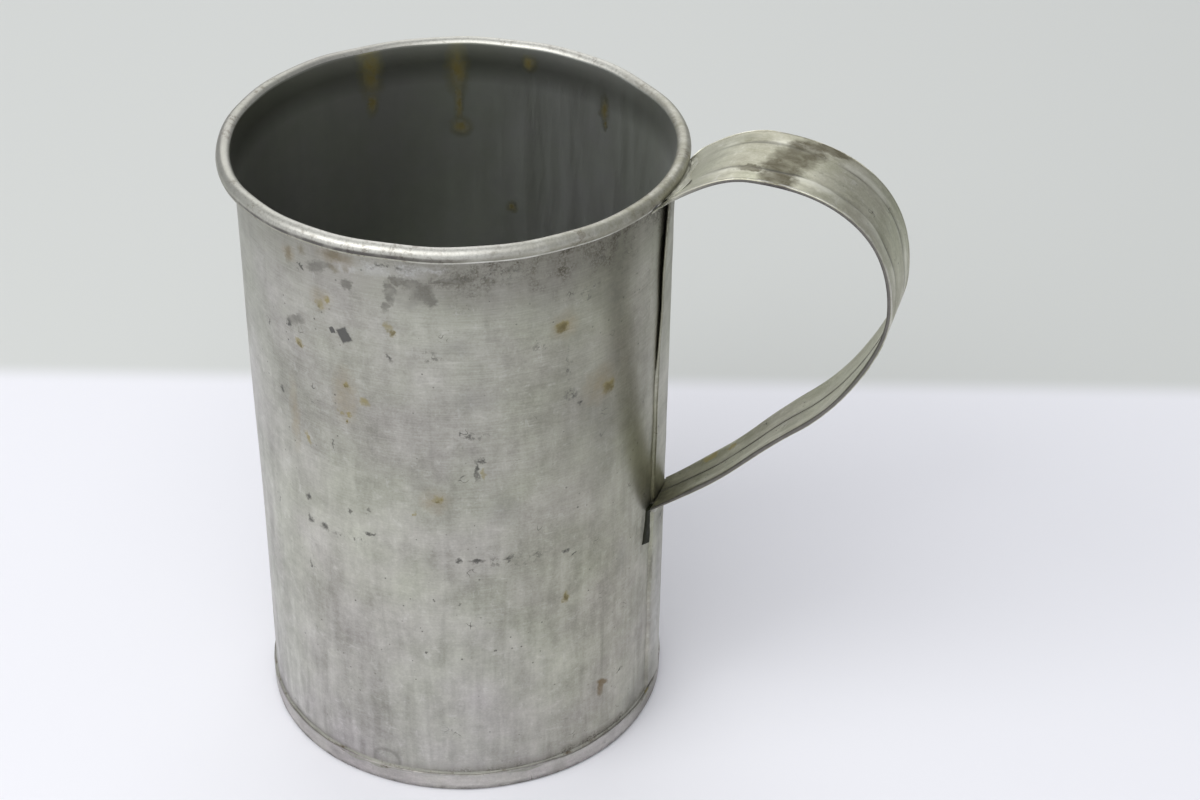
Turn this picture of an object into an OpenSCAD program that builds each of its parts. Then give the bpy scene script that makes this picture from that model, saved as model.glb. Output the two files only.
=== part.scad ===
// Tinplate measure: a soldered cylinder with a wired rim, a set-on base pan and a hemmed strap handle.
// Millimetres, +Z up. The origin is the centre of the underside of the base; the handle lies along +X.

/* [Body] */
// Outside diameter of the wall
body_d = 95; // [70:0.5:130]
// Height from the table to the top of the rolled rim
body_h = 146.8; // [110:0.1:200]
// Thickness of the tinplate of the wall and the handle
sheet_t = 0.3; // [0.2:0.02:0.44]

/* [Rim] */
// Diameter of the wire inside the rim
wire_d = 2.5; // [1.6:0.1:3.5]
// Room left between the wire and the curl round it
wire_slack = 0.05; // [0.02:0.01:0.15]
// How far the wall leans out under the rim
rim_flare = 0.6; // [0.3:0.1:1]
// Height over which the wall leans out
flare_h = 5.6; // [4.5:0.1:8]
// How far the edge of the sheet is curled round the wire, degrees
curl_deg = 305; // [270:1:310]

/* [Side seam] */
// Width of the lock seam across its two folds
seam_w = 8.5; // [6:0.25:12]
// Room left between the folded layers
seam_slack = 0.03; // [0.02:0.01:0.12]
// Length of the slope from the outer layer back down to the wall
jog_l = 3; // [2:0.25:5]

/* [Base] */
// Thickness of the sheet of the base pan
base_t = 0.4; // [0.3:0.05:0.7]
// Height of the upturned flange of the base pan
flange_h = 5; // [3:0.25:9]
// Room between the wall and the flange, filled with solder
base_gap = 0.35; // [0.15:0.05:0.6]
// Height of the solder fillet above the flange
base_fillet_h = 1.1; // [0.5:0.1:2.5]

/* [Handle strap] */
// Width of the strap's top end, under the rim
strap_end_w = 16.6; // [14:0.2:24]
// Length over which the top end widens to the full strap
end_taper_l = 9; // [7:0.5:14]
// Full width of the strap at the rim
strap_top_w = 24.6; // [18:0.2:32]
// Width of the strap at its foot
strap_foot_w = 13.3; // [12.8:0.1:18]
// Width of each folded hem at the rim
hem_w = 6.3; // [3:0.1:8]
// Share of the strap's length, from the rim, at which the two hems meet
hem_meet = 0.6; // [0.4:0.02:0.9]
// Room left between the two hems where they meet
hem_gap = 0.5; // [0.3:0.05:1.5]
// Room left inside the folded hems
hem_slack = 0.06; // [0.03:0.01:0.15]
// Room left where the strap's ends meet the wall and the seam
strap_fit = 0.04; // [0.02:0.01:0.15]
// Room between the strap and the rim, filled with solder
rim_gap = 0.2; // [0.05:0.05:0.5]

/* [Handle shape] */
// Angle at which the strap leaves the wall under the rim, degrees
rise_deg = 47; // [42:1:53]
// Straight length of the strap under the rim
lead_l = 5.2; // [4.6:0.2:8]
// Distance of the crest from the wall
crest_out = 20.7; // [16:0.1:28]
// Height of the crest's centre line over the rim
crest_up = 6.3; // [3:0.1:12]
// Distance of the outermost point's centre line from the wall
reach = 51.2; // [42:0.1:65]
// Depth of the outermost point below the rim
reach_drop = 21.2; // [16:0.1:30]
// Sideways share of the way from the outermost point to the lower end where the strap runs straight
waist_in = 0.432; // [0.38:0.002:0.5]
// Downward share of the same way
waist_down = 0.592; // [0.5:0.002:0.65]
// Direction of the strap at the waist, degrees below the outward horizontal
waist_deg = 139; // [132:1:144]
// Direction of the strap where it comes in to the foot
foot_deg = 142; // [135:1:148]
// Distance from the wall to the start of the straight run into the foot
foot_run = 10.3; // [8:0.1:16]
// Height of the middle of the strap's lower end over the table
foot_z = 62.3; // [40:0.1:75]

/* [Hidden] */
$fa = 3;
$fs = 0.4;

// wall and rim, as distances from the axis and heights
wall_r = body_d / 2;
wall_in = wall_r - sheet_t;
wall_mid = wall_r - sheet_t / 2;
curl_in = wire_d / 2 + wire_slack;
bead_r = curl_in + sheet_t;
curl_mid = curl_in + sheet_t / 2;
lean = 2 * atan(rim_flare / flare_h);
flare_rho = flare_h / sin(lean);
flare_z = body_h - bead_r - flare_h + curl_mid * sin(lean);
bead_c = [wall_mid + rim_flare + curl_mid * cos(lean), body_h - bead_r];
flare_c = [wall_mid + flare_rho, flare_z];

// lock seam: layers counted outwards from the wall, angles counted from the handle's plane
// (the folded sheet is hammered a little thinner than the wall)
layer_step = sheet_t + seam_slack;
seam_t = sheet_t - 0.04;
fold_out = layer_step + seam_t / 2;
fold_in = layer_step - seam_t / 2;
seam_r = wall_mid + 3 * layer_step + seam_t / 2;
fold_deg = (seam_w / 2 - fold_out) / wall_r * 180 / PI;
tip_deg = seam_w / 2 / wall_r * 180 / PI;
jog_deg = tip_deg + (jog_l + seam_slack) / wall_r * 180 / PI;
jog0_deg = tip_deg + seam_slack / wall_r * 180 / PI;
JOG_N = 10;

// strap: total thickness over a hem, and its stations in the handle's plane (out, up)
strap_t = 2 * sheet_t + hem_slack;
least_hem = 3 * strap_t;
end_guess = bead_c[1] - 4.2;
end_r = flare_c[0] - sqrt(pow(flare_rho - sheet_t / 2, 2) - pow(end_guess - flare_z, 2)) + strap_fit;
end_drop = bead_r + strap_t / 2 + rim_gap + (bead_c[0] - end_r) * sin(rise_deg);
end_z = bead_c[1] - end_drop / cos(rise_deg);
st_end = [end_r, end_z];
st_lead = st_end + lead_l * [cos(rise_deg), sin(rise_deg)];
st_crest = [wall_r + crest_out, body_h + crest_up];
st_reach = [wall_r + reach, body_h - reach_drop];
foot_dir = [cos(180 - foot_deg), sin(180 - foot_deg)];
st_foot = [seam_r + strap_fit, foot_z];
st_run = st_foot + (wall_r + foot_run - st_foot[0]) / foot_dir[0] * foot_dir;
st_waist = [st_reach[0] + (st_run[0] - st_reach[0]) * waist_in,
            st_reach[1] + (st_run[1] - st_reach[1]) * waist_down];

// seam heights: it stops over the base fillet and under the strap
seam_z0 = flange_h + base_fillet_h + 0.3;
seam_z1 = min(flare_z - 0.2, end_z - strap_t / 2 / cos(rise_deg) - 0.4);

// smooth curve between two stations, as points with the direction of travel
function bez_p(a, b, c, d, t) =
    pow(1 - t, 3) * a + 3 * pow(1 - t, 2) * t * b + 3 * (1 - t) * t * t * c + pow(t, 3) * d;
function bez_d(a, b, c, d, t) = pow(1 - t, 2) * (b - a) + 2 * (1 - t) * t * (c - b) + t * t * (d - c);
function leg(p, q, pa, qa, hp, hq, n) =
    let (l = norm(q - p), b = p + hp * l * [cos(pa), sin(pa)], c = q - hq * l * [cos(qa), sin(qa)])
    [for (i = [1 : n]) let (t = i / n, v = bez_d(p, b, c, q, t), m = bez_p(p, b, c, q, t))
        [m[0], m[1], atan2(v[1], v[0])]];
strap_path = concat(
    [for (i = [0 : 4]) let (m = st_end + (st_lead - st_end) * i / 4) [m[0], m[1], rise_deg]],
    leg(st_lead, st_crest, rise_deg, 0, 0.34, 0.36, 14),
    leg(st_crest, st_reach, 0, -90, 0.4155, 0.479, 18),
    leg(st_reach, st_waist, -90, -waist_deg, 0.254, 0.319, 14),
    leg(st_waist, st_run, -waist_deg, -foot_deg, 0.372, 0.381, 8),
    [for (i = [1 : 3]) let (m = st_run + (st_foot - st_run) * i / 3) [m[0], m[1], -foot_deg]]);
function run_to(i) = i == 0 ? 0 : run_to(i - 1)
    + norm([strap_path[i][0] - strap_path[i - 1][0], strap_path[i][1] - strap_path[i - 1][1]]);
strap_run = [for (i = [0 : len(strap_path) - 1]) run_to(i)];
strap_len = strap_run[len(strap_run) - 1];

// cross-section of the hemmed strap as two rows of points: its outer skin and its inner skin
FOLD_N = 6;
FACE_N = 8;
function fold_row(y, r, a0, a1) =
    [for (i = [0 : FOLD_N]) let (a = a0 + (a1 - a0) * i / FOLD_N) [y + r * cos(a), r * sin(a)]];
function skin(w, f, r) =
    let (e = w / 2 - strap_t / 2)
    concat([[-f, -r], [-(e + f) / 2, -r]],
        fold_row(-e, r, 270, 90),
        [for (i = [1 : FACE_N - 1]) [-e + 2 * e * i / FACE_N, r]],
        fold_row(e, r, 90, -90),
        [[(e + f) / 2, -r], [f, -r]]);
// how much the strap is hollowed to the round wall: fully at its end, not at all farther out
function hollow(s) = let (u = max(0, min(1, (s - lead_l) / 16))) 1 - u * u * (3 - 2 * u);
// the ends are cut to fit: the top end upright against the wall, the foot along the round of the seam
function place(k, p) =
    let (q = strap_path[k], a = q[2], n = p[1], last = len(strap_path) - 1,
        x0 = q[0] - n * sin(a), z0 = q[1] + n * cos(a),
        e = k == 0 ? end_r - x0 : k == last ? sqrt(pow(st_foot[0], 2) - pow(p[0], 2)) - x0 : 0,
        x1 = x0 + e, z1 = e == 0 ? z0 : z0 + e * tan(a),
        x2 = x1 - hollow(strap_run[k]) * (x1 - sqrt(x1 * x1 - p[0] * p[0])))
    [x2, p[0], z1];
function strap_w(k) =
    let (s = strap_run[k], u = min(1, s / end_taper_l))
    strap_top_w + (strap_foot_w - strap_top_w) * s / strap_len
        - (strap_top_w - strap_end_w) * pow(1 - u, 2) * (1 + 2 * u);
// half of the open strip between the hems, which narrows until they meet
function half_open(k) =
    let (open = (strap_top_w - 2 * hem_w) * (1 - strap_run[k] / (hem_meet * strap_len)))
    max(hem_gap, min(open, strap_w(k) - 2 * least_hem)) / 2;
function rev(v) = [for (i = [len(v) - 1 : -1 : 0]) v[i]];
function ring(k) =
    let (w = strap_w(k), f = half_open(k))
    [for (p = concat(skin(w, f, strap_t / 2), rev(skin(w, f, hem_slack / 2)))) place(k, p)];

// point at a distance and an angle
function polar(r, a) = r * [cos(a), sin(a)];

// slice of a round between two angles, in plan
module slice(r0, r1, a0, a1) {
    n = max(2, ceil((a1 - a0) / 20));
    intersection() {
        difference() {
            circle(r1);
            circle(r0);
        }
        polygon(concat([[0, 0]], [for (i = [0 : n]) polar(1.5 * r1, a0 + (a1 - a0) * i / n)]));
    }
}

// radius of the middle of the sheet on the slope between the outer layer and the wall
function jog_r(u) = wall_mid + 3 * layer_step * (1 + cos(180 * u)) / 2;
function jog_a(u) = jog0_deg + (jog_deg - jog0_deg) * u;

// point of a folded edge: which fold, distance from its centre, direction from its centre
function fold_p(r, deg, d, a) = polar(r, deg) + polar(d, a);
TURN_N = 8;
ARC_N = 8;

// hook of the edge that ends the wall's inner layer: round its fold and back under the outer layer
function hook_a(o) = concat(
    [polar(wall_mid - o, fold_deg - 0.4)],
    [for (i = [0 : TURN_N])
        fold_p(wall_mid + layer_step, fold_deg, layer_step + o, fold_deg + 180 - 180 * i / TURN_N)],
    [for (i = [1 : ARC_N])
        polar(wall_mid + 2 * layer_step + o, fold_deg - (2 * fold_deg - 0.15) * i / ARC_N)]);
// hook of the other edge: up the slope, over the top, round its fold and back under the first hook
function hook_b(o) = concat([polar(wall_mid + o, jog_deg + 0.4)],
    [for (i = [JOG_N : -1 : 0]) polar(jog_r(i / JOG_N) + o, jog_a(i / JOG_N))],
    [for (i = [1 : ARC_N - 1])
        polar(wall_mid + 3 * layer_step + o, jog0_deg - (jog0_deg + fold_deg) * i / ARC_N)],
    [for (i = [0 : TURN_N])
        fold_p(wall_mid + 2 * layer_step, -fold_deg, layer_step + o, -fold_deg - 180 * i / TURN_N)],
    [for (i = [1 : ARC_N]) polar(wall_mid + layer_step - o, -fold_deg + (2 * fold_deg - 0.15) * i / ARC_N)]);

module seam_hooks() {
    polygon(concat(hook_a(seam_t / 2), rev(hook_a(-seam_t / 2))));
    polygon(concat(hook_b(seam_t / 2), rev(hook_b(-seam_t / 2))));
}

// outline of everything that stands proud of the wall at the seam
module seam_outline() {
    polygon(concat([polar(wall_r - 1, -tip_deg - 0.05), polar(seam_r, -tip_deg - 0.05)],
        [for (i = [1 : 11]) polar(seam_r, -tip_deg + (jog0_deg + tip_deg) * i / 12)],
        [for (i = [0 : JOG_N]) polar(jog_r(i / JOG_N) + sheet_t / 2, jog_a(i / JOG_N))],
        [polar(wall_r - 1, jog_deg)]));
}

module wall_profile() {
    translate([wall_in, base_t]) square([sheet_t, flare_z - base_t]);
    // the leaning part is drawn a hair thinner and runs on a little into the wall and the curl
    more = 6 / flare_rho;
    translate(flare_c) slice(flare_rho - sheet_t / 2 + 0.01, flare_rho + sheet_t / 2 - 0.01,
        180 - lean - more, 180 + more);
    translate(bead_c) slice_long(curl_in, bead_r, 180 - lean - curl_deg, 180 - lean);
}

// slice that goes more than half way round
module slice_long(r0, r1, a0, a1) {
    slice(r0, r1, a0, (a0 + a1) / 2);
    slice(r0, r1, (a0 + a1) / 2, a1);
}

// Sheet of the wall: cylinder, lock seam and curled rim
module body_sheet() {
    color([0.66, 0.66, 0.63]) union() {
        difference() {
            rotate_extrude() wall_profile();
            translate([0, 0, seam_z0]) linear_extrude(seam_z1 - seam_z0)
                polygon([polar(wall_in - 1, fold_deg), polar(wall_r + 1, fold_deg),
                    polar(wall_r + 1, jog_deg), polar(wall_in - 1, jog_deg)]);
        }
        translate([0, 0, seam_z0]) linear_extrude(seam_z1 - seam_z0) seam_hooks();
    }
}

// Wire inside the curl
module rim_wire() {
    color([0.4, 0.4, 0.4]) rotate_extrude() translate(bead_c) circle(wire_d / 2);
}

// Base: flat disc with a bent-up flange outside the wall
module base_pan() {
    in_r = wall_r + base_gap;
    color([0.62, 0.62, 0.6]) rotate_extrude() {
        square([wall_r, base_t]);
        translate([in_r, base_t + base_gap]) square([base_t, flange_h - base_t - base_gap]);
        translate([wall_r, base_t + base_gap]) slice(base_gap, base_gap + base_t, -90, 0);
    }
}

// Handle: tapered strap with both edges folded in, bent from the rim round to its foot on the wall
module handle_strap() {
    rings = len(strap_path);
    m = len(skin(20, 1, 1));
    c = 2 * m;
    pts = [for (k = [0 : rings - 1]) each ring(k)];
    sides = [for (k = [0 : rings - 2]) for (j = [0 : c - 1]) let (a = k * c + j, b = k * c + (j + 1) % c)
        each [[a, b, b + c], [a, b + c, a + c]]];
    cap = [for (j = [0 : m - 2]) each [[j, c - 1 - j, j + 1], [j + 1, c - 1 - j, c - 2 - j]]];
    last = (rings - 1) * c;
    end_cap = [for (f = cap) [f[0] + last, f[2] + last, f[1] + last]];
    color([0.7, 0.7, 0.64]) polyhedron(pts, concat(sides, cap, end_cap), convexity = 10);
}

// Solder in the inside groove of the lock seam
module side_seam_solder() {
    color([0.5, 0.5, 0.52]) difference() {
        translate([0, 0, seam_z0]) linear_extrude(seam_z1 - seam_z0)
            polygon(concat([polar(wall_in, fold_deg), polar(wall_in, (fold_deg + jog_deg) / 2)],
                [for (i = [JOG_N : -1 : 0])
                    polar(min(wall_r, jog_r(i / JOG_N) - seam_t / 2 - 0.01), jog_a(i / JOG_N))],
                [polar(wall_r, fold_deg)]));
        rotate(fold_deg) translate([wall_mid + layer_step, 0, seam_z0 - 1])
            cylinder(r = fold_out, h = seam_z1 - seam_z0 + 2);
    }
}

// Solder between the wall and the flange of the base, with a fillet over the flange's edge
module base_seam_solder() {
    color([0.56, 0.56, 0.56]) rotate_extrude() polygon([[wall_r, base_t + base_gap],
        [wall_r + base_gap, base_t + base_gap], [wall_r + base_gap, flange_h],
        [wall_r + base_gap + 0.7 * base_t, flange_h],
        [wall_r + 0.6 * base_gap, flange_h + 0.45 * base_fillet_h], [wall_r, flange_h + base_fillet_h]]);
}

// Solder at the strap's top end: the pocket under the rim and a fillet under the strap
module handle_top_solder() {
    half = asin((strap_end_w / 2 + 0.6) / end_r);
    along = [cos(rise_deg), sin(rise_deg)];
    across = [-sin(rise_deg), cos(rise_deg)] * strap_t / 2;
    touch = (bead_c - st_end) * along;
    color([0.58, 0.58, 0.57]) difference() {
        rotate(-half) rotate_extrude(angle = 2 * half) intersection() {
            translate(flare_c) circle(flare_rho - sheet_t / 2, $fn = 360);
            union() {
                difference() {
                    polygon([st_end + across - along, st_end + across + (touch + 1.5) * along,
                        bead_c + bead_r * [cos(-8), sin(-8)], bead_c, [end_r - 1, bead_c[1]]]);
                    translate(bead_c) circle(bead_r);
                }
                polygon([st_end - across - along, st_end - across + 1.3 * along,
                    st_end - across * 1.5 + [-1, -1.8]]);
            }
        }
        linear_extrude(seam_z1 + 0.2) seam_outline();
    }
}

// Solder at the strap's foot: fills beside the seam behind the strap's end and a fillet under the strap
module handle_foot_solder() {
    half = asin((strap_foot_w / 2 - 0.9) / wall_r);
    under = st_foot + [foot_dir[1], -foot_dir[0]] * (strap_t / 2 + 0.005);
    back_r = seam_r - 0.05;
    back = under - (under[0] - back_r) / foot_dir[0] * foot_dir;
    color([0.58, 0.58, 0.57]) difference() {
        rotate(-half) rotate_extrude(angle = 2 * half, $fn = 720) polygon([
            [wall_r - 0.5, foot_z - 3.2], under + [0.3, -1.5], under + 1.4 * foot_dir,
            back, [back_r, foot_z + 0.7], [wall_r - 0.5, foot_z + 0.7]]);
        cylinder(r = wall_r, h = body_h, $fn = 720);
        linear_extrude(body_h) seam_outline();
    }
}

// Which node to draw

body_sheet();
rim_wire();
base_pan();
handle_strap();
side_seam_solder();
base_seam_solder();
handle_top_solder();
handle_foot_solder();
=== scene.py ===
"""Old tinplate measure: a wired, lock-seamed cylinder with a set-on base and a hemmed strap handle."""
import math

import bmesh
import bpy
import numpy as np
from mathutils import Matrix, Vector


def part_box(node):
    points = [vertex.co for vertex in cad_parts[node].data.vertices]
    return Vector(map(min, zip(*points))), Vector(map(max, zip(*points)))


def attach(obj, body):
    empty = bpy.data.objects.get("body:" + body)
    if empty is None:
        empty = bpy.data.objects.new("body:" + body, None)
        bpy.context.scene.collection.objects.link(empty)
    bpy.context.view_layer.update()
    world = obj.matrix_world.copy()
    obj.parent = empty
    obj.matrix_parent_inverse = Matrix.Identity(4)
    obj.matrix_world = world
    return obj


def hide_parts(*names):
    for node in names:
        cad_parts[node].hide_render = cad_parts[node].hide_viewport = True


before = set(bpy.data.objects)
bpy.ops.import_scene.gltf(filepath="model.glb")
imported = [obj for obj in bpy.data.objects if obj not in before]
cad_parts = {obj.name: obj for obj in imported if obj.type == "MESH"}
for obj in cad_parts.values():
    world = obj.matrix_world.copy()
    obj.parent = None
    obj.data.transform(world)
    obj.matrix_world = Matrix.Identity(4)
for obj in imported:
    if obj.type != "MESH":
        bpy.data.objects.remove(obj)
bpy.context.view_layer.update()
BODY = "root"

bl_info = {
    "name": "Tinplate measure",
    "version": (1, 0, 0),
    "blender": (4, 5, 0),
    "location": "3D View > Sidebar > Measure",
    "description": "Builds an old tinplate measure with its wear around the fixed frame",
    "category": "Add Mesh",
}


def length(name, description, millimetres):
    """A size that a user would change, held in metres."""
    return bpy.props.FloatProperty(
        name=name, description=description, default=millimetres / 1000, unit="LENGTH", precision=5)


def linear(hexa):
    """Linear RGBA of an sRGB hex value."""
    parts = [int(hexa[i:i + 2], 16) / 255 for i in (0, 2, 4)]
    return tuple(c / 12.92 if c <= 0.04045 else ((c + 0.055) / 1.055) ** 2.4 for c in parts) + (1.0,)


def colour(name, description, hexa):
    """A colour that a user would change, written as an sRGB hex value."""
    return bpy.props.FloatVectorProperty(
        name=name, description=description, default=linear(hexa)[:3], subtype="COLOR", size=3, min=0, max=1)


class MeasureSizes(bpy.types.PropertyGroup):
    """Sizes of the measure."""
    wall_r: length("Wall radius", "Outside radius of the wall", 47.5)
    height: length("Height", "Height to the top of the rolled rim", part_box("body_sheet")[1].z * 1000)
    sheet: length("Sheet", "Thickness of the tinplate", 0.3)
    bead_r: length("Bead radius", "Radius of the rolled rim over its wire", 1.6)
    wire_d: length("Wire", "Diameter of the wire inside the rim", 2.5)
    rim_flare: length("Rim flare", "How far the wall leans out under the rim", 0.6)
    flare_h: length("Flare height", "Height over which the wall leans out", 5.6)
    seam_up: length("Seam height", "How far the lock seam stands proud of the wall", 0.97)
    seam_half: length("Seam half width", "From the middle of the seam to the start of its slope", 4.3)
    seam_slope: length("Seam slope", "Length of the slope from the seam down to the wall", 3.0)
    seam_lift: length("Lifted fold", "How far the seam's fold has come away from the wall under the rim", 0.8)
    base_t: length("Base sheet", "Thickness of the base pan", 0.4)
    base_gap: length("Base gap", "Solder room between the wall and the flange", 0.35)
    flange_h: length("Flange", "Height of the base pan's flange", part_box("base_pan")[1].z * 1000)
    strap_end_w: length("Strap end", "Width of the strap's top end", 16.6)
    strap_top_w: length("Strap width", "Full width of the strap at the rim", 24.6)
    strap_foot_w: length("Strap foot", "Width of the strap at its foot", 13.3)
    hem_w: length("Hem", "Width of each folded hem at the rim", 6.3)
    hem_gap: length("Hem gap", "Room between the hems where they meet", 0.5)
    foot_z: length("Foot height", "Height of the middle of the strap's lower end", 62.3)
    dent: length("Hand-made wobble", "How far the wall strays from a true round", 0.16)


class MeasureColours(bpy.types.PropertyGroup):
    """Colours of the measure and its stage."""
    tin: colour("Tin", "Wiped tin on the outside", "CBCBC2")
    tin_dull: colour("Dull tin", "Oxidised tin between the wiped places", "8E8D85")
    tin_inside: colour("Inside tin", "Tarnished tin on the inside", "ECEEEC")
    strap_tin: colour("Strap tin", "Greenish tin of the strap", "CFCFC0")
    ochre: colour("Ochre", "Dried yellow-brown spots", "8A7E46")
    rust: colour("Rust", "Brown rust", "75654A")
    grime: colour("Grime", "Dark oxide and dirt", "3A3935")
    floor: colour("Floor", "Pale floor", "EFEFF4")
    back: colour("Back", "Pale grey behind the floor", "D3D5D2")


# Sizes in millimetres, worked out from the property group

HEM_ROOM = 0.06  # between the two layers of a hem
FIT = 0.04  # between the strap's ends and what they meet
STRAP_RISE, STRAP_WAIST, STRAP_FOOT = 47, -139, -142  # headings of the strap's line in degrees
STRAP_LEAD = 5.2  # straight length of the strap from its top end
STRAP_MEETS = 4.2  # how far below the rim wire the strap meets the wall
STRAP_CREST, STRAP_REACH = (20.7, 6.3), (51.2, -21.2)  # out from the wall and up from the rim
STRAP_RUN_IN = 10.3  # distance from the wall at which the strap runs straight to its foot
WALL_STEPS, WIRE_STEPS, BASE_STEPS, FILLET_STEPS = 372, 240, 420, 520  # round the body


class Plan:
    """The measure's sizes in millimetres with what follows from them, in the frame of the solids."""

    def __init__(self):
        sizes = bpy.context.scene.measure_sizes
        for key in MeasureSizes.__annotations__:
            setattr(self, key, getattr(sizes, key) * 1000)
        self.wall_in = self.wall_r - self.sheet
        self.strap_t = 2 * self.sheet + HEM_ROOM
        curl = self.bead_r - self.sheet / 2
        middle = self.wall_r - self.sheet / 2
        lean = 2 * math.atan(self.rim_flare / self.flare_h)
        self.flare_rho = self.flare_h / math.sin(lean)
        self.flare_z = self.height - self.bead_r - self.flare_h + curl * math.sin(lean)
        self.flare_x = middle + self.flare_rho
        self.bead_c = np.array([middle + self.rim_flare + curl * math.cos(lean), self.height - self.bead_r])

    def flare_r(self, z, side):
        """Radius of the leaning wall at a height, side +1 outside and -1 inside."""
        rho = self.flare_rho - side * self.sheet / 2
        return self.flare_x - np.sqrt(rho ** 2 - (np.maximum(z, self.flare_z) - self.flare_z) ** 2)


# Points, waves and skins

def ease(x, a, b):
    """0 before a, 1 after b, smooth between."""
    t = np.clip((np.asarray(x, float) - a) / (b - a), 0, 1)
    return t * t * (3 - 2 * t)


def waves(points, seed, span, count=14):
    """Soft seeded unevenness at points in millimetres, about -1 to 1, with swells about span apart."""
    rng = np.random.default_rng(seed)
    way = rng.normal(size=(count, 3))
    way *= (2 * math.pi / (span * rng.uniform(0.7, 1.8, count)) / np.linalg.norm(way, axis=1))[:, None]
    phase = rng.uniform(0, 2 * math.pi, count)
    return np.cos(np.asarray(points) @ way.T + phase).sum(-1) / math.sqrt(count)


def line_waves(t, seed, span, count=8):
    """Soft seeded unevenness along a line in millimetres."""
    return waves(np.stack([t, 0 * t, 0 * t], -1) * 1.6, seed, span, count)


def polar(r, a, z):
    """Points from radius, angle and height."""
    return np.stack(np.broadcast_arrays(r * np.cos(a), r * np.sin(a), z), -1)


def grid(x, y):
    """Points of a flat from its two ways."""
    return np.stack(np.broadcast_arrays(x, y, 0.0), -1)


def round_steps(count):
    """Angles once round, as a column."""
    return np.linspace(0, 2 * math.pi, count, endpoint=False)[:, None]


def column(start, end, count):
    """Even steps from start to end, as a column."""
    return np.linspace(start, end, count)[:, None]


def heading(degrees):
    """A unit step in a plane."""
    return np.array([math.cos(math.radians(degrees)), math.sin(math.radians(degrees))])


def side_by_side(*parts):
    """Parts of cross-sections, one after the other."""
    return np.concatenate(parts, 1)


def closed(front, back):
    """Closed cross-sections from a front skin and a back skin that run the same way."""
    return side_by_side(front, back[:, ::-1])


# hollows in the wall: angle, height, reach round, reach up, depth
DENTS = ((-2.05, 104, 17, 26, 0.35), (-0.95, 44, 22, 20, 0.28), (2.5, 78, 20, 30, 0.5),
         (1.3, 50, 18, 16, 0.4), (-1.45, 84, 12, 14, 0.16))
# low places of the rim: angle, reach round, drop
RIM_DROPS = ((-2.55, 18, 0.75), (0.8, 8, 0.4), (2.2, 16, 0.25))
SEAM_ARC = 0.55  # the wall stays true within about this angle of the seam
RIM_RIPPLE = 0.07  # how far the rim's top waves
OVAL = 0.25  # how far the front and the back are pressed in at the rim


def settle(points, plan):
    """Moves points of the round body by the wobble, dents and low rim of hand-made tinware."""
    x, y, z = (points[..., i] for i in range(3))
    angle, r = np.arctan2(y, x), np.hypot(x, y)
    free = 1 - np.exp(-(angle / SEAM_ARC) ** 2)

    def away(middle):
        """Distance round the wall from an angle."""
        return np.angle(np.exp(1j * (angle - middle))) * plan.wall_r

    swell = waves(polar(plan.wall_r, angle, 0.7 * z), 11, 44) - 1.1
    move = plan.dent * swell * (0.35 + 0.65 * ease(z, 2, 30)) - OVAL * np.sin(angle) ** 2 * z / plan.height
    for middle, up, wide, high, deep in DENTS:
        move = move - deep * np.exp(-(away(middle) / wide) ** 2 - ((z - up) / high) ** 2)
    sink = RIM_RIPPLE * (np.cos(9 * angle + 1) + np.cos(17 * angle) - 2)
    for middle, wide, drop in RIM_DROPS:
        sink = sink - drop * np.exp(-(away(middle) / wide) ** 2)
    r = r + move * free * np.clip(r / plan.wall_r, 0, 1)
    return polar(r, angle, z + sink * free * ease(z, 118, plan.height))


SHARP_FROM = 38  # degrees between faces from which an edge is shown sharp
WELD = 1e-6  # metres within which points are one


def loft(name, rows, materials, wrap=False, slots=0, values=None, weld=False):
    """An object from rows of closed cross-sections in millimetres, each a front skin and a back skin. Rows
    that wrap go once round, others get a cap at each end. Values tell the finish about each point."""
    count, c, _ = rows.shape
    k = np.arange(count if wrap else count - 1)[:, None]
    j = np.arange(c)[None, :]
    k2, j2 = (k + 1) % count, (j + 1) % c
    faces = np.stack([k * c + j, k * c + j2, k2 * c + j2, k2 * c + j], -1).reshape(-1, 4)
    where = np.broadcast_to(slots, (len(k), c)).reshape(-1)
    if not wrap:
        i = np.arange(c // 2 - 1)
        cap = np.stack([i, c - 1 - i, c - 2 - i, i + 1], -1)
        faces = np.concatenate([faces, cap, cap[:, ::-1] + (count - 1) * c])
        where = np.concatenate([where, np.zeros(2 * len(cap), int)])
    points = rows.reshape(-1, 3) / 1000
    # faces look outwards: the volume within is above zero
    halves = points[faces[:, :3]], points[faces[:, [0, 2, 3]]]
    if sum(np.einsum("ij,ij->", t[:, 0], np.cross(t[:, 1], t[:, 2])) for t in halves) < 0:
        faces = faces[:, ::-1]
    mesh = bpy.data.meshes.new(name)
    mesh.from_pydata(points.tolist(), [], faces.tolist())
    for material in materials:
        mesh.materials.append(material)
    mesh.polygons.foreach_set("material_index", where.astype(np.int32))
    for key, row in (values or {}).items():
        told = np.broadcast_to(np.asarray(row, np.float32), (count, c)).reshape(-1)
        mesh.attributes.new(key, "FLOAT", "POINT").data.foreach_set("value", told)
    if weld:
        work = bmesh.new()
        work.from_mesh(mesh)
        bmesh.ops.remove_doubles(work, verts=work.verts, dist=WELD)
        work.to_mesh(mesh)
        work.free()
    mesh.polygons.foreach_set("use_smooth", np.ones(len(mesh.polygons), bool))
    mesh.set_sharp_from_angle(angle=math.radians(SHARP_FROM))
    made = bpy.data.objects.new(name, mesh)
    bpy.context.scene.collection.objects.link(made)
    return made


def join(pieces):
    """Several lofts as one object, the first one's name kept."""
    with bpy.context.temp_override(active_object=pieces[0], selected_editable_objects=pieces,
                                   selected_objects=pieces, object=pieces[0]):
        bpy.ops.object.join()
    return pieces[0]


def place(piece, slot, *nodes):
    """Rides a piece on the body, in place of its solids."""
    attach(piece, BODY)
    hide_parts(*nodes)


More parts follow.
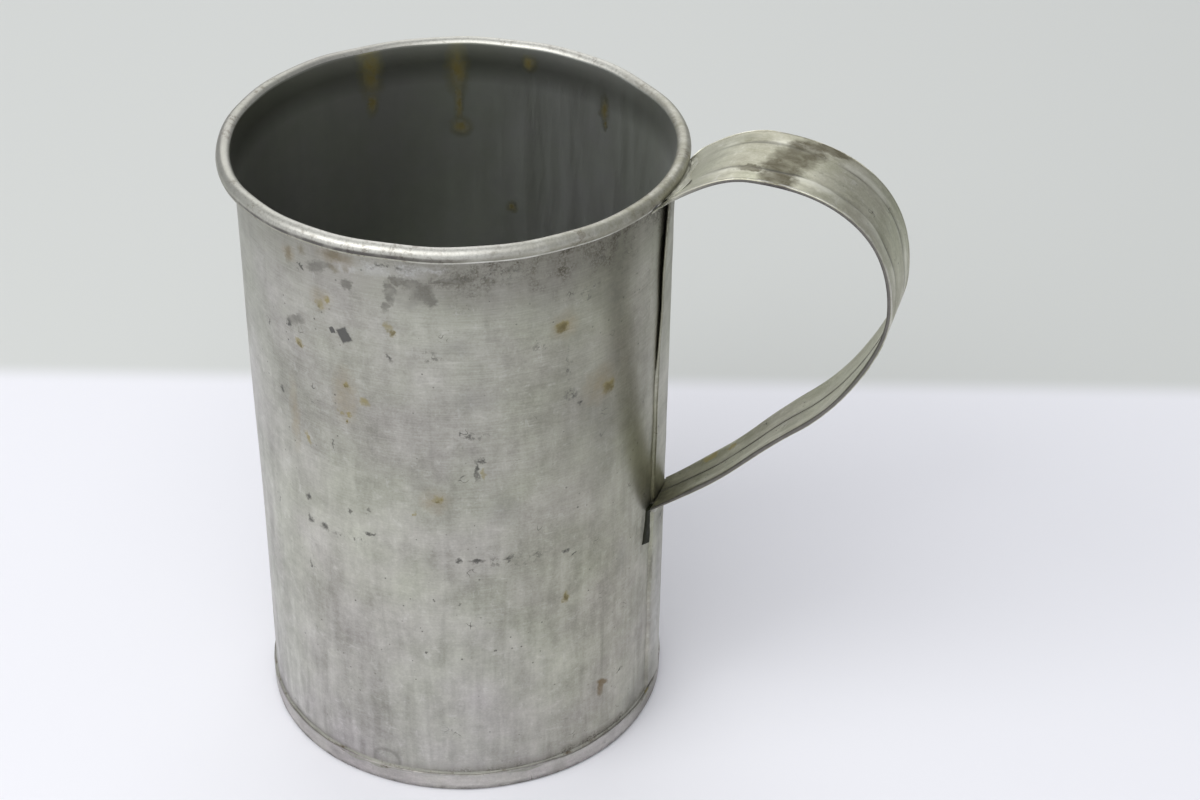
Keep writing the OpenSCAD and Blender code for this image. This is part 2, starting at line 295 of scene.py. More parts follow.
# Materials

OBJECT_PLACE = 3  # output of the coordinate node with places on the object
RELIEF = 0.02  # depth of the tin's fine relief in millimetres


def ink(name):
    """Linear RGBA of a colour of the property group, or of an sRGB hex value."""
    if name in MeasureColours.__annotations__:
        return (*getattr(bpy.context.scene.measure_colours, name), 1.0)
    return linear(name)


class Finish:
    """A material in the making: its node tree, and the parts of its pattern that stains are laid over."""

    def __init__(self, name):
        self.material = bpy.data.materials.new(name)
        self.material.use_nodes = True
        self.tree = self.material.node_tree
        self.tree.nodes.clear()
        self.surface = self.tree.nodes.new("ShaderNodeBsdfPrincipled")
        self.add("OutputMaterial", {"Surface": self.surface.outputs[0]}, None)
        metres = self.add("TexCoord", pick=OBJECT_PLACE)
        self.place = self.add("VectorMath", {0: metres, "Scale": 1000.0}, operation="SCALE")
        self.metal = 1.0

    def add(self, kind, inputs=None, pick=0, **settings):
        """Adds a node with its settings, values and links, and gives one output, or all with pick None."""
        node = self.tree.nodes.new("ShaderNode" + kind)
        for key, value in settings.items():
            setattr(node, key, value)
        self.feed(node, inputs or {})
        return node.outputs if pick is None else node.outputs[pick]

    def feed(self, node, inputs):
        """Links a node's inputs, or sets their values. A colour may be a name or a hex value."""
        for key, value in inputs.items():
            if isinstance(value, bpy.types.NodeSocket):
                self.tree.links.new(value, node.inputs[key])
            else:
                node.inputs[key].default_value = ink(value) if isinstance(value, str) else value

    def calc(self, operation, *values):
        """Arithmetic on values in the order of the node's inputs."""
        return self.add("Math", dict(enumerate(values)), operation=operation)

    def chain(self, operation, first, *others):
        """One kind of arithmetic from value to value."""
        for other in others:
            first = self.calc(operation, first, other)
        return first

    def times(self, *values):
        """The product of several values."""
        return self.chain("MULTIPLY", *values)

    def off(self, value, middle=0.5):
        """How far a value is from a middle."""
        return self.calc("ABSOLUTE", self.calc("SUBTRACT", value, middle))

    def vector(self, operation, *values, pick=0):
        """Arithmetic on vectors."""
        return self.add("VectorMath", dict(enumerate(values)), pick, operation=operation)

    def span(self, value, start=0.0, end=1.0, low=0.0, high=1.0):
        """A value from one range brought to another, held at both ends."""
        return self.add("MapRange", {"Value": value, "From Min": start, "From Max": end, "To Min": low,
                                     "To Max": high})

    def mix(self, part, first, second, blend="MIX"):
        """A colour between two."""
        return self.add("Mix", {0: part, 6: first, 7: second}, 2, data_type="RGBA", blend_type=blend)

    def noise(self, vector, across, detail, rough=0.5, pick=0, bent=0.0):
        """A cloudy pattern, across in the vector's own units, which are millimetres for a place."""
        return self.add("TexNoise", {"Vector": vector, "Scale": 1 / across, "Detail": detail,
                                     "Roughness": rough, "Distortion": bent}, pick)

    def cells(self, across):
        """Scattered points some millimetres apart: how near the next one is, and its own random colour."""
        outputs = self.add("TexVoronoi", {"Vector": self.place, "Scale": 1 / across, "Randomness": 1.0}, None)
        return outputs[0], self.add("SeparateColor", {0: outputs[1]}, None)

    def value(self, name):
        """A value that the mesh carries."""
        return self.add("Attribute", {}, 2, attribute_name=name, attribute_type="GEOMETRY")

    def axes(self):
        """The place on the object as three values."""
        return self.add("SeparateXYZ", {0: self.place}, None)

    def about(self, spot, inner, outer):
        """1 near a place on the object, 0 beyond."""
        return self.span(self.vector("DISTANCE", self.place, spot, pick=1), inner, outer, 1, 0)

    def ragged(self, flat, across, detail, rough, amount):
        """A flat whose places stray, so that the outlines drawn on it are ragged."""
        stray = self.vector("SUBTRACT", self.noise(self.place, across, detail, rough, 1), (0.5, 0.5, 0.5))
        return self.vector("ADD", flat, self.vector("MULTIPLY", stray, (amount, amount, 0)))

    def unroll(self, r, stray):
        """The wall unrolled to a flat (round, up) in millimetres, its places straying a little."""
        x, y, z = self.axes()
        flat = self.add("CombineXYZ", {0: self.times(self.calc("ARCTAN2", y, x), r), 1: z})
        for across, part in ((2.0, 1.0), (0.6, 0.55)):
            flat = self.ragged(flat, across, 2.0, 0.5, stray * part)
        return flat

    def spots(self, flat, marks):
        """Distance to the nearest of several ovals, 1 at their outline, on a flat in millimetres."""
        near, flats = [], {}
        for across, up, half_w, half_h, *tilt in marks:
            shape = oval(half_w, half_h, *tilt)
            pen = min(PENS, key=lambda other: np.abs(oval(*other) - shape).sum())
            wide, high, turn = pen[0], pen[1], math.radians(pen[2])
            if pen not in flats:
                flats[pen] = self.add("Mapping", {"Vector": flat, "Rotation": (0, 0, turn),
                                                  "Scale": (wide, high, 1)}, vector_type="TEXTURE")
            spot = ((math.cos(turn) * across + math.sin(turn) * up) / wide,
                    (math.cos(turn) * up - math.sin(turn) * across) / high, 0)
            here = self.vector("DISTANCE", flats[pen], spot, pick=1)
            near.append(self.calc("DIVIDE", here, math.sqrt(half_w * half_h)))
        return self.chain("MINIMUM", *near)

    def tinge(self, by):
        """Multiplies the colour."""
        self.shade = self.mix(1.0, self.shade, by, "MULTIPLY")

    def stain(self, tint, strength, rough, metal, *masks, rise=0.0):
        """Lays a stain of one colour where all masks are: duller, less metallic, perhaps raised."""
        mask = self.times(*masks, strength)
        self.shade = self.mix(mask, self.shade, tint)
        self.gloss = self.add("Mix", {0: mask, 2: self.gloss, 3: rough})
        self.metal = self.add("Mix", {0: mask, 2: self.metal, 3: metal})
        if rise:
            self.relief = self.calc("MULTIPLY_ADD", mask, rise, self.relief)

    def bump(self, height, depth):
        """A fine relief, its depth in millimetres."""
        return self.add("Bump", {"Height": height, "Distance": depth / 1000, "Strength": 1.0})

    def close(self, depth=0.0):
        """Gives the finished pattern to the surface shader, smooth where the relief has no depth."""
        self.feed(self.surface, {"Base Color": self.shade, "Roughness": self.gloss, "Metallic": self.metal})
        if depth:
            self.feed(self.surface, {"Normal": self.bump(self.relief, depth)})
        return self.material


# shapes that a mark may have: width and height for an area of one, and tilt
PENS = ((1.0, 1.0, 0), (0.66, 1.5, 0), (1.5, 0.66, 0), (0.42, 2.4, 0), (2.2, 0.45, 0), (0.66, 1.5, 28),
        (1.5, 0.66, 28), (1.5, 0.66, -28), (1.9, 0.53, 20))


def oval(half_w, half_h, tilt=0):
    """An oval's spread as a small matrix of unit area, to compare shapes with."""
    c, s = heading(tilt)
    turn = np.array([[c, -s], [s, c]])
    return turn @ np.diag([half_w / half_h, half_h / half_w]) @ turn.T


def unrolled(marks, r):
    """Marks given as angle in degrees, height and full sizes, as ovals on the unrolled wall."""
    return [(math.radians(a) * r, z, w / 2, h / 2, *tilt) for a, z, w, h, *tilt in marks]


WIPE = (0.15, 0.15, 3.0)  # wipe lines are 7 mm long and a third of a millimetre wide
# hairline scratches: turn and stretch of each set
HAIRLINES = (((0.12, 0.1, 0.5), (0.09, 0.09, 0.8)), ((-0.35, 0.3, 0.1), (0.1, 0.1, 0.9)),
             ((1.1, 0.7, 2.0), (0.6, 0.6, 0.1)))


def aged_tin(name, pale, dull, streak, rough, rubbed=0.4, lines=0.3, worn=1.0):
    """Hot-dipped tinplate, wiped and aged: soft clouds of oxide, level wipe lines, streaks that run down,
    hairline scratches, pinholes and hooked scores. Each piece then stains it in its own way."""
    tin = Finish(name)
    level, down = (tin.vector("MULTIPLY", tin.place, stretch) for stretch in (WIPE, streak))
    # wipe lines fade towards the foot, streaks fade towards the rim
    up = tin.axes()[2]
    wiped = tin.span(up, 30, 115, 0.3 * lines, lines)
    ran = tin.span(up, 15, 100, rubbed, 0.35 * rubbed)
    # clouds 36 mm across, blotches of 9 mm, mottling of 2.6 mm, grain of 0.5 mm, wipe lines and streaks
    tone = 0.5
    for key, vector, across, detail, weight in (
            ("clouds", tin.place, 36, 3.0, 1.0), ("blotch", tin.place, 9, 4.0, 0.75),
            ("mottle", tin.place, 2.6, 4.0, 0.15 + 0.35 * worn), ("fine", tin.place, 0.5, 2.0, 0.5 * worn),
            ("level", level, 1, 2.0, wiped), ("streaks", down, 1, 2.0, ran)):
        pattern = tin.noise(vector, across, detail, 0.58, bent=0.3)
        setattr(tin, key, pattern)
        tone = tin.calc("MULTIPLY_ADD", tin.calc("SUBTRACT", pattern, 0.5), weight, tone)
    tone = tin.add("Clamp", {"Value": tone})
    tin.shade = tin.mix(tone, dull, pale)
    # warm and cool drifts of the oxide, 20 mm across
    drift = tin.span(tin.noise(tin.place, 20, 3.0, 0.6), 0.35, 0.65)
    tin.tinge(tin.mix(drift, "FFFCFC", "FBFCF4"))
    # hairline scratches about 0.2 mm wide, broken up by the mottling
    hairs = []
    for turn, stretch in HAIRLINES:
        slant = tin.add("Mapping", {"Vector": tin.place, "Rotation": turn, "Scale": stretch})
        hairs.append(tin.span(tin.off(tin.noise(slant, 1, 0.0)), 0, 0.025, 1, 0))
    hair = tin.times(tin.chain("MAXIMUM", *hairs), tin.span(tin.mottle, 0.52, 0.64))
    tin.shade = tin.mix(tin.times(hair, 0.35 * worn), tin.shade, "D6D5CF")
    # pinholes of dark oxide up to half a millimetre across, some of each 2 mm, gathered where the tin is thin
    far, own = tin.cells(2.0)
    pits = tin.span(tin.calc("DIVIDE", far, own[0]), 0.06, 0.17, 0.75, 0)
    pits = tin.times(pits, tin.span(tin.blotch, 0.42, 0.56))
    # hooked scores, 2 mm long, one here and there
    far, own = tin.cells(7.0)
    score = tin.span(tin.off(tin.noise(tin.place, 1.5, 0.0)), 0.01, 0.035, 0.7, 0)
    score = tin.times(score, tin.span(far, 0.12, 0.2, 1, 0), tin.span(own[1], 0.5, 0.6))
    tin.shade = tin.mix(tin.times(tin.calc("MAXIMUM", pits, score), worn), tin.shade, "grime")
    gloss = tin.span(tone, low=rough[1], high=rough[0])
    tin.gloss = tin.calc("MULTIPLY_ADD", tin.fine, 0.02 + 0.06 * worn, gloss)
    relief = tin.calc("MULTIPLY_ADD", tin.mottle, 0.6, tin.times(tin.fine, 0.4))
    tin.relief = tin.calc("MULTIPLY_ADD", hair, -0.2 * worn, relief)
    return tin


# marks on the outside of the wall: angle in degrees, height, width, height of the mark, tilt if it has one
CHIPS = ((-98.5, 122, 2.7, 3.3, 30), (-102, 122.4, 1.2, 1.5, 20))
OCHRE_SPOTS = (
    (-114, 115.5, 1.7, 2.6), (-98.5, 109.5, 1.3, 1.2), (-93.5, 106.5, 2.6, 2.2), (-101, 102.5, 1.1, 1.2),
    (-98.8, 102.3, 1.2, 1.1), (-99, 100.4, 1.4, 1), (-113, 91.5, 1.8, 3, 20), (-86, 126, 1.5, 3.4, 25),
    (-42, 123.8, 2.6, 2.8, -20), (-27, 104.5, 3, 4.6), (-75, 83.5, 2.4, 1.8, 30), (-81.5, 79.6, 1.4, 0.9),
    (-40.5, 52, 1.8, 3.4), (-63, 90, 1.2, 2.6), (-105.5, 127.6, 2.4, 2, -30), (-103, 129.4, 1.4, 2))
OCHRE_CORES = (
    (-42.2, 123.4, 1.9, 2.2), (-27, 104, 2.2, 3.4), (-40.5, 51.8, 1.2, 2.2), (-85.6, 125.2, 1.1, 1.5),
    (-114, 115.2, 0.9, 1.2), (-105.8, 127.2, 1, 1), (-99, 100.3, 0.9, 0.7), (-98.5, 109.3, 0.8, 0.7),
    (-75.2, 83.2, 1.1, 0.9))
OCHRE_VEILS = (
    (-99.5, 140.2, 7.5, 4, -12), (-105, 129, 5, 5, -30), (-115, 137, 3.4, 3.6), (-99.5, 107, 6, 12),
    (-118, 96, 3, 16), (-76, 83, 7, 5), (-30, 106, 7, 10), (-41, 124, 6, 6))
RIM_STAINS = (
    (-99.4, 140.4, 6.6, 3.8, -8), (-115.3, 136.8, 2.2, 3.6), (-110.2, 139.4, 2.2, 2.4),
    (-97, 138.4, 2.6, 1.8), (-100.6, 137.4, 2, 2.2))
RUST_SPOTS = ((-28.2, 19.8, 1.9, 5.6), (-27.5, 21.4, 4.6, 1.5, -28))
SEAM_DIRT = ((-7.5, 62.5, 5, 9), (-9.6, 57, 2.6, 11), (-4.2, 43, 0.7, 18))
SEAM_SMEARS = ((-24.6, 127, 5.6, 34), (-5, 10, 9, 13), (0, 55, 7, 10), (-13, 8, 10, 6))
FROST = ((-89, 139.3, 7, 3.4), (-81, 139.8, 9, 2.8), (-97, 138.6, 6, 2.4), (-75, 140.4, 6, 1.6),
         (1.5, 26, 7, 46))
DARK_MARKS = (
    (-64.6, 91.2, 1, 4.6), (-63.6, 93.4, 2.2, 0.9, -25), (-109, 69.6, 2.6, 2, 15), (-114, 69.4, 1.6, 2.2),
    (-114.2, 75.5, 1.4, 1.8), (-94, 72.2, 1.6, 1), (-94, 78.2, 1, 1.2), (-65.5, 67, 3, 1.2),
    (-70, 67.6, 1.6, 1.2), (-57.4, 66.8, 1.8, 1), (-49, 66.9, 2, 0.8), (-40.8, 65.3, 2.4, 0.8, -30),
    (-38.2, 63.4, 1.8, 0.8, 40),
    (-115, 56.5, 1, 2.4), (-70.5, 55, 0.9, 0.7), (-61.2, 41, 1.1, 0.8), (-80, 41.2, 0.7, 0.7),
    (-123, 100.4, 1.2, 1.4), (-104, 92.6, 0.5, 3), (-117, 119.4, 1.7, 1.5), (-86.6, 118.8, 0.6, 2.6, 25),
    (-36.5, 103.6, 1, 1), (-77, 56, 0.6, 0.7), (-8.6, 139.2, 1.9, 1.3, -20), (-100, 76.5, 0.9, 1.2),
    (-20.6, 21.2, 1.9, 0.6, 28))
SPECK_PATCHES = (
    (-48, 120, 5, 3.6), (2.5, 55, 4.5, 10), (-39.4, 106, 4.4, 4.4), (-34.5, 130, 3, 8, -35), (-40, 114, 2, 9),
    (-100, 69.5, 14, 3.6), (-55, 66, 26, 3), (-86, 140.4, 12, 2.4), (-60, 139, 22, 4), (-30, 138, 12, 6),
    (-76, 120, 6, 3), (-66, 100, 9, 2, -10))
GREY_STAINS = (
    (-104.5, 137, 8.6, 2.4, 18), (-97, 134.4, 2.6, 2.4), (-114.6, 121, 6, 2.8, 25), (-85.6, 134.4, 2.2, 6.4),
    (-86.6, 131, 1.8, 2.2, 20), (-83.4, 137.5, 4, 1.9), (-79.8, 137.1, 4.4, 1.9, -8), (-77.4, 135, 4.6, 4.8),
    (-75.6, 133.2, 2.8, 3.8), (-71.5, 137.6, 7, 1.6), (-66.5, 138.1, 5, 1.3))
DRIED_PATCH = ((-81.2, 134.2, 8.4, 6.4),)
# grey veils and smudges; the first two are painted shade, the handle's dark reflection running down the wall
# on the handle's side
GREY_VEILS_AND_HANDLE_SHADE = (
    (-27, 127, 16, 22), (-29, 96, 24, 76), (-13, 8.5, 13, 9), (-36, 137, 24, 10), (2, 55, 5, 10),
    (-65, 109, 11, 5), (-58, 80, 9, 6, 20), (-20, 55, 4.5, 12), (-62, 136, 24, 8), (-46, 132, 16, 14),
    (-70, 122, 9, 4))
DROP_RING = ((-92.8, 6.2, 7.6, 5.4),)
# painted shade in the corner where the strap meets the rim is laid round this place
STRAP_CORNER_SHADE = (49.0, -12.9, 143.9)  # where the strap's corner meets the rim
# layers of marks from below: marks, colour, strength, roughness, metal, rise, softness of the edge
WALL_LAYERS = (
    (GREY_VEILS_AND_HANDLE_SHADE, "7C7B76", 0.36, 0.42, 0.9, 0.0, 0.9), (GREY_STAINS, "6B6962", 0.74, 0.5, 0.7, 0.0, 0.32),
    (DRIED_PATCH, "86857D", 0.42, 0.44, 0.9, 0.0, 0.35), (FROST, "CFCFCD", 0.6, 0.5, 1.0, 0.0, 0.8),
    (OCHRE_VEILS, "8C7A55", 0.42, 0.45, 0.6, 0.0, 0.8), (RIM_STAINS, "70654B", 0.6, 0.5, 0.5, 0.0, 0.6),
    (OCHRE_SPOTS, "ochre", 0.75, 0.55, 0.3, 0.4, 0.5), (OCHRE_CORES, "5C5230", 0.8, 0.6, 0.2, 0.3, 0.6),
    (RUST_SPOTS, "rust", 1.0, 0.7, 0.1, 0.5, 0.35), (SEAM_SMEARS, "6F6E64", 0.55, 0.5, 0.8, 0.0, 0.9),
    (SEAM_DIRT, "35332A", 0.62, 0.6, 0.3, 0.0, 0.9), (DARK_MARKS, "grime", 0.85, 0.6, 0.3, 0.0, 0.6))


def tin_outside():
    """Tinplate of the wall's outside: a broad soft sheen, cloudy grey, with spots of dried food and oxide."""
    tin = aged_tin("tinplate_hot_dipped_wiped", "tin", "tin_dull", (0.35, 0.35, 0.045), (0.24, 0.4),
                   rubbed=1.1, lines=0.5)
    span, stain, plan = tin.span, tin.stain, Plan()
    r, height = plan.wall_r, plan.height
    flat, crisp = tin.unroll(r, 2.6), tin.unroll(r, 0.6)
    x, _, z = tin.axes()
    # darker towards the rim, and painted shade on the side towards the handle and on the side away from it
    for axis, start, end, most, least in ((z, 20, height - 6, 1.07, 0.82), (x, 16, 46, 1, 0.85),
                                          (x, -36, -48, 1, 0.9)):
        tin.tinge(span(axis, start, end, most, least))
    # yellower from hands on the handle's side; near the foot, cooler: a painted reflection of the bluish
    # floor
    for axis, start, end, hue in ((x, 20, 44, "FFFFF7"), (z, 58, 6, "F8F6FF")):
        tin.tinge(tin.mix(span(axis, start, end), "FFFFFF", hue))
    patchy = span(tin.mottle, 0.36, 0.56, 0.55)
    for marks, tint, strength, rough, metal, rise, edge in WALL_LAYERS:
        near = tin.spots(crisp if marks is RUST_SPOTS else flat, unrolled(marks, r))
        stain(tint, strength, rough, metal, span(near, 1 - edge, 1 + edge / 2, 1, 0), patchy, rise=rise)
    # square chips where the tin has flaked off
    for across, up, half_w, half_h, tilt in unrolled(CHIPS, r):
        moved = tin.add("Mapping", {"Vector": crisp, "Location": (across, up, 0),
                                    "Rotation": (0, 0, math.radians(tilt)), "Scale": (half_w, half_h, 1)},
                        vector_type="TEXTURE")
        sides = tin.add("SeparateXYZ", {0: tin.vector("ABSOLUTE", moved)}, None)
        near = tin.calc("MAXIMUM", sides[0], sides[1])
        stain("4C4B49", 0.9, 0.45, 0.6, span(near, 0.85, 1.1, 1, 0), rise=-0.5)
    # dark specks gathered in patches
    speck = span(tin.noise(tin.place, 1.5, 5.0, 0.72), 0.52, 0.61)
    stain("grime", 0.72, 0.6, 0.3, span(tin.spots(flat, unrolled(SPECK_PATCHES, r)), 0.2, 1.1, 1, 0), speck)
    # grainy dirt that gathers under the rim, most on the handle's side, and above the base
    grain = tin.times(span(tin.fine, 0.38, 0.58, 0.3), span(x, 2, 30, 0.3, 1.2))
    for low, high, most in ((height - 26, height - 5, 1.0), (9, 5.6, 0.8)):
        band = tin.times(span(z, low, high), tin.blotch, tin.mottle)
        stain("5C584C", most, 0.55, 0.6, span(band, 0.1, 0.3), grain)
    # rolled rim: a painted highlight over the bead, weaker on the left; painted shade with olive dirt on its
    # lower half; darker towards the strap; brown specks low down
    bead, crease = tin.value("bead"), tin.value("crease")
    on_bead, in_crease = (tin.add("Clamp", {"Value": value}) for value in (bead, crease))
    stain("DAD9D2", 0.85, 0.52, 1.0, span(tin.fine, 0.3, 0.6, 0.6), on_bead, span(x, -46, -8, 0.35))
    stain("8E8D78", 0.75, 0.5, 0.9, span(tin.blotch, 0.3, 0.6, 0.5), span(bead, 1, 2))
    stain("8E8C78", 0.75, 0.5, 0.9, span(x, 20, 46), on_bead, span(tin.mottle, 0.3, 0.6, 0.4))
    stain("5F5340", 0.75, 0.55, 0.5, span(tin.blotch, 0.46, 0.6), speck, span(bead, 0, 1.6), rise=0.3)
    # painted shade in a dark band round its underside, above a painted highlight on its raw edge
    stain("454142", 0.85, 0.6, 0.6, span(tin.blotch, 0.4, 0.58, 0.35), in_crease, span(x, 30, 6, 0.25))
    stain("D6D5CE", 0.8, 0.45, 0.9, span(crease, 0, -1), span(x, -2, 22, 0.15),
          span(tin.mottle, 0.38, 0.6, 0.3))
    # painted shade in a dark spot where the strap's corner meets the rim, and the ring of a dried drop beside
    # the base
    stain("17160F", 0.95, 0.7, 0.1, tin.about(STRAP_CORNER_SHADE, 0.7, 1.3))
    ring = tin.off(tin.spots(crisp, unrolled(DROP_RING, r)), 1.0)
    stain("6B6A64", 0.35, 0.5, 0.8, span(ring, 0.03, 0.24, 1, 0))
    return tin.close(RELIEF)


INSIDE_DRIPS = (
    (110.3, 139, 4.4, 12), (110, 131, 2.2, 10), (109.5, 124.6, 3.6, 5.4), (135.2, 140.5, 5.4, 12),
    (135.4, 133, 2.6, 6), (89, 142.2, 3, 4), (63.6, 136, 3.2, 5), (63.3, 132.4, 1.5, 2.4),
    (94.9, 103.5, 2.6, 2.6), (-150, 90, 2, 4), (30, 118, 2.4, 7), (-70, 60, 3, 3), (10, 40, 2, 5))


def tin_inside():
    """Tinplate of the inside: smooth grey tarnish, a streaky film of oxide and yellow-brown drips."""
    tin = aged_tin("tinplate_tarnished_inside", "tin_inside", "D2D4D2", (0.3, 0.3, 0.03), (0.28, 0.36),
                   rubbed=1.0, lines=0.1, worn=0.0)
    span, stain, plan = tin.span, tin.stain, Plan()
    flat, (x, _, z) = tin.unroll(plan.wall_r, 1.6), tin.axes()
    # painted shade on the side away from the handle, the inner wall that the light from the left does not
    # reach; rubbed rougher on the handle's side
    tin.tinge(span(x, -40, 25, 0.62, 1.04))
    tin.gloss = tin.calc("ADD", tin.gloss, span(x, 5, 42, 0, 0.1))
    # a thin grey film of oxide, in streaks that run down, none on the side away from the handle
    stain("8A9694", 0.25, 0.36, 0.55, span(x, -30, 5), span(tin.streaks, 0.36, 0.64, 0.35))
    # painted shade over the band where the wall leans out under the rim, dulling the bright reflection it
    # catches there, with a little olive dirt; less on the handle's side
    stain("6C6D62", 0.78, 0.3, 1.0, span(z, plan.height - 11, plan.height - 5.5), span(x, -15, 25, 1, 0.5))
    near = tin.spots(flat, unrolled(INSIDE_DRIPS, plan.wall_r))
    patchy = span(tin.mottle, 0.3, 0.5, 0.4)
    for outer, tint, rough, metal in ((1.5, "AEA670", 0.25, 1.0), (0.95, "74642A", 0.4, 0.62)):
        stain(tint, 0.75, rough, metal, span(near, 0.2 * outer, outer, 1, 0), patchy)
    return tin.close()


def tin_base():
    """Tinplate of the base pan: duller and darker towards where it stands, with dirt along its edge."""
    tin = aged_tin("tinplate_base_scuffed", "D6D3D2", "9E9B9A", (0.12, 0.12, 0.6), (0.28, 0.46), rubbed=0.5)
    span, stain, z = tin.span, tin.stain, tin.axes()[2]
    stain("grime", 0.7, 0.6, 0.4, span(tin.times(span(z, 2.6, 0.1), tin.mottle), 0.2, 0.5))
    stain("grime", 0.5, 0.6, 0.4, span(z, 4.3, 4.9), span(tin.mottle, 0.35, 0.55))
    # duller below the seam, blotched all round, with an ochre spot
    stain("6E6C60", 0.55, 0.55, 0.8, tin.about((48.2, -2.0, 3.0), 4, 14))
    stain("5E5A50", 0.35, 0.55, 0.5, span(tin.blotch, 0.54, 0.66))
    stain("ochre", 0.7, 0.6, 0.2, tin.about((48.0, -3.5, 4.2), 0.9, 1.7))
    return tin.close(RELIEF)


def solder_grey():
    """Lead and tin solder, wiped with an iron: soft dull grey lumps, brown with scorched flux in the hollows,
    near black and without sheen where scorched most, which beside the strap's foot is also painted shade.
    """
    grey = Finish("solder_lead_tin_wiped")
    lumps = grey.noise(grey.place, 1.3, 4.0, 0.6)
    flux = grey.span(grey.noise(grey.place, 2.6, 4.0, 0.65), 0.52, 0.68)
    burnt_flux_and_shade = grey.value("burnt_flux_and_shade")
    wiped = grey.times(grey.span(lumps, 0.3, 0.6, 0.5), grey.value("wiped"))
    shade = grey.mix(lumps, "98978F", "D2D1C6")
    for part, tint in ((flux, "6B5E4C"), (burnt_flux_and_shade, "25271B"), (wiped, "BDBDAE")):
        shade = grey.mix(part, shade, tint)
    grey.feed(grey.surface, {"Base Color": shade, "Metallic": grey.span(burnt_flux_and_shade, low=0.65, high=0.1),
                             "Specular IOR Level": grey.span(burnt_flux_and_shade, low=0.5, high=0.04),
                             "Roughness": grey.span(lumps, 0.3, 0.7, 0.42, 0.62),
                             "Normal": grey.bump(lumps, 0.06)})
    return grey.material


def wire_steel():
    """Drawn iron wire: plain grey, clouded brown and rough with rust where the curl leaves it open."""
    wire = Finish("iron_wire_drawn")
    rust = wire.noise(wire.place, 2.0, 4.0, 0.6)
    wire.feed(wire.surface, {"Base Color": wire.mix(rust, "5D5C59", "4B3A2C"), "Metallic": 0.8,
                             "Roughness": wire.span(rust, low=0.35, high=0.7)})
    return wire.material


# marks on the strap: along, across, half sizes; the inner side lies a shelf further across
WORN_PATCHES = ((30, -8.4, 4, 4), (29.6, -4, 5, 4), (31, 1, 5.2, 4.6), (33, 6, 5, 4.2), (37.5, 9.4, 4, 2.2),
                (23.5, -6.4, 3.2, 1.4))
STRAP_SPOTS = ((141.5, 45.1, 2.2, 1.4), (134.5, 44.9, 1.6, 1.3))
SHELF = 40.0


def strap_tin():
    """Tinplate of the strap: greenish grey, rubbed by hands, worn brown on its crest, dirt in its folds, with
    a painted highlight and painted shade along its folded edges.
    """
    tin = aged_tin("tinplate_strap_hemmed", "strap_tin", "979682", (0.35, 0.5, 0.35), (0.34, 0.5), lines=0.1)
    span, stain = tin.span, tin.stain
    along, across, inner, fold, hem, edge, folded = (
        tin.value(key) for key in ("along", "across", "inner", "fold", "hem", "edge", "folded"))
    flat = tin.add("CombineXYZ", {0: along, 1: tin.calc("MULTIPLY_ADD", inner, SHELF, across)})
    flat = tin.ragged(flat, 3.0, 4.0, 0.65, 5.0)
    # rubbed lengthwise: marks about 12 mm long and 1.2 mm wide
    rub = tin.noise(tin.vector("MULTIPLY", flat, (0.085, 0.85, 1.0)), 1, 3.0, 0.6)
    rub = span(rub, 0.3, 0.7, 0.84, 1.12)
    tin.tinge(rub)
    # the hems show through as paler strips
    stain("E4E3D6", 0.6, 0.45, 0.95, hem, span(tin.blotch, 0.4, 0.58))
    worn = span(tin.spots(flat, WORN_PATCHES), 0.7, 1.12, 1, 0)
    stain("534C33", 0.9, 0.55, 0.5, worn, span(tin.mottle, 0.3, 0.58, 0.55), rub)
    stain("ochre", 0.8, 0.6, 0.2, span(tin.spots(flat, STRAP_SPOTS), 0.6, 1.1, 1, 0))
    # a painted highlight along the outer side of the folded edges, and painted shade below it on the fold's
    # turned side
    stain("DAD9D6", 0.6, 0.34, 1.0, span(edge, 0.6, 0.85), span(tin.mottle, 0.38, 0.55))
    stain("4E4A50", 0.75, 0.5, 0.8, span(edge, 0.6, 0.35), span(edge, -0.995, -0.9), folded,
          span(along, 5, 11))
    # paler towards its top end beside the rim, dirt in the folds
    stain("D4D4C6", 0.5, 0.5, 0.9, span(along, 20, 6))
    stain("grime", 0.75, 0.6, 0.4, fold)
    return tin.close(RELIEF)


# Pieces

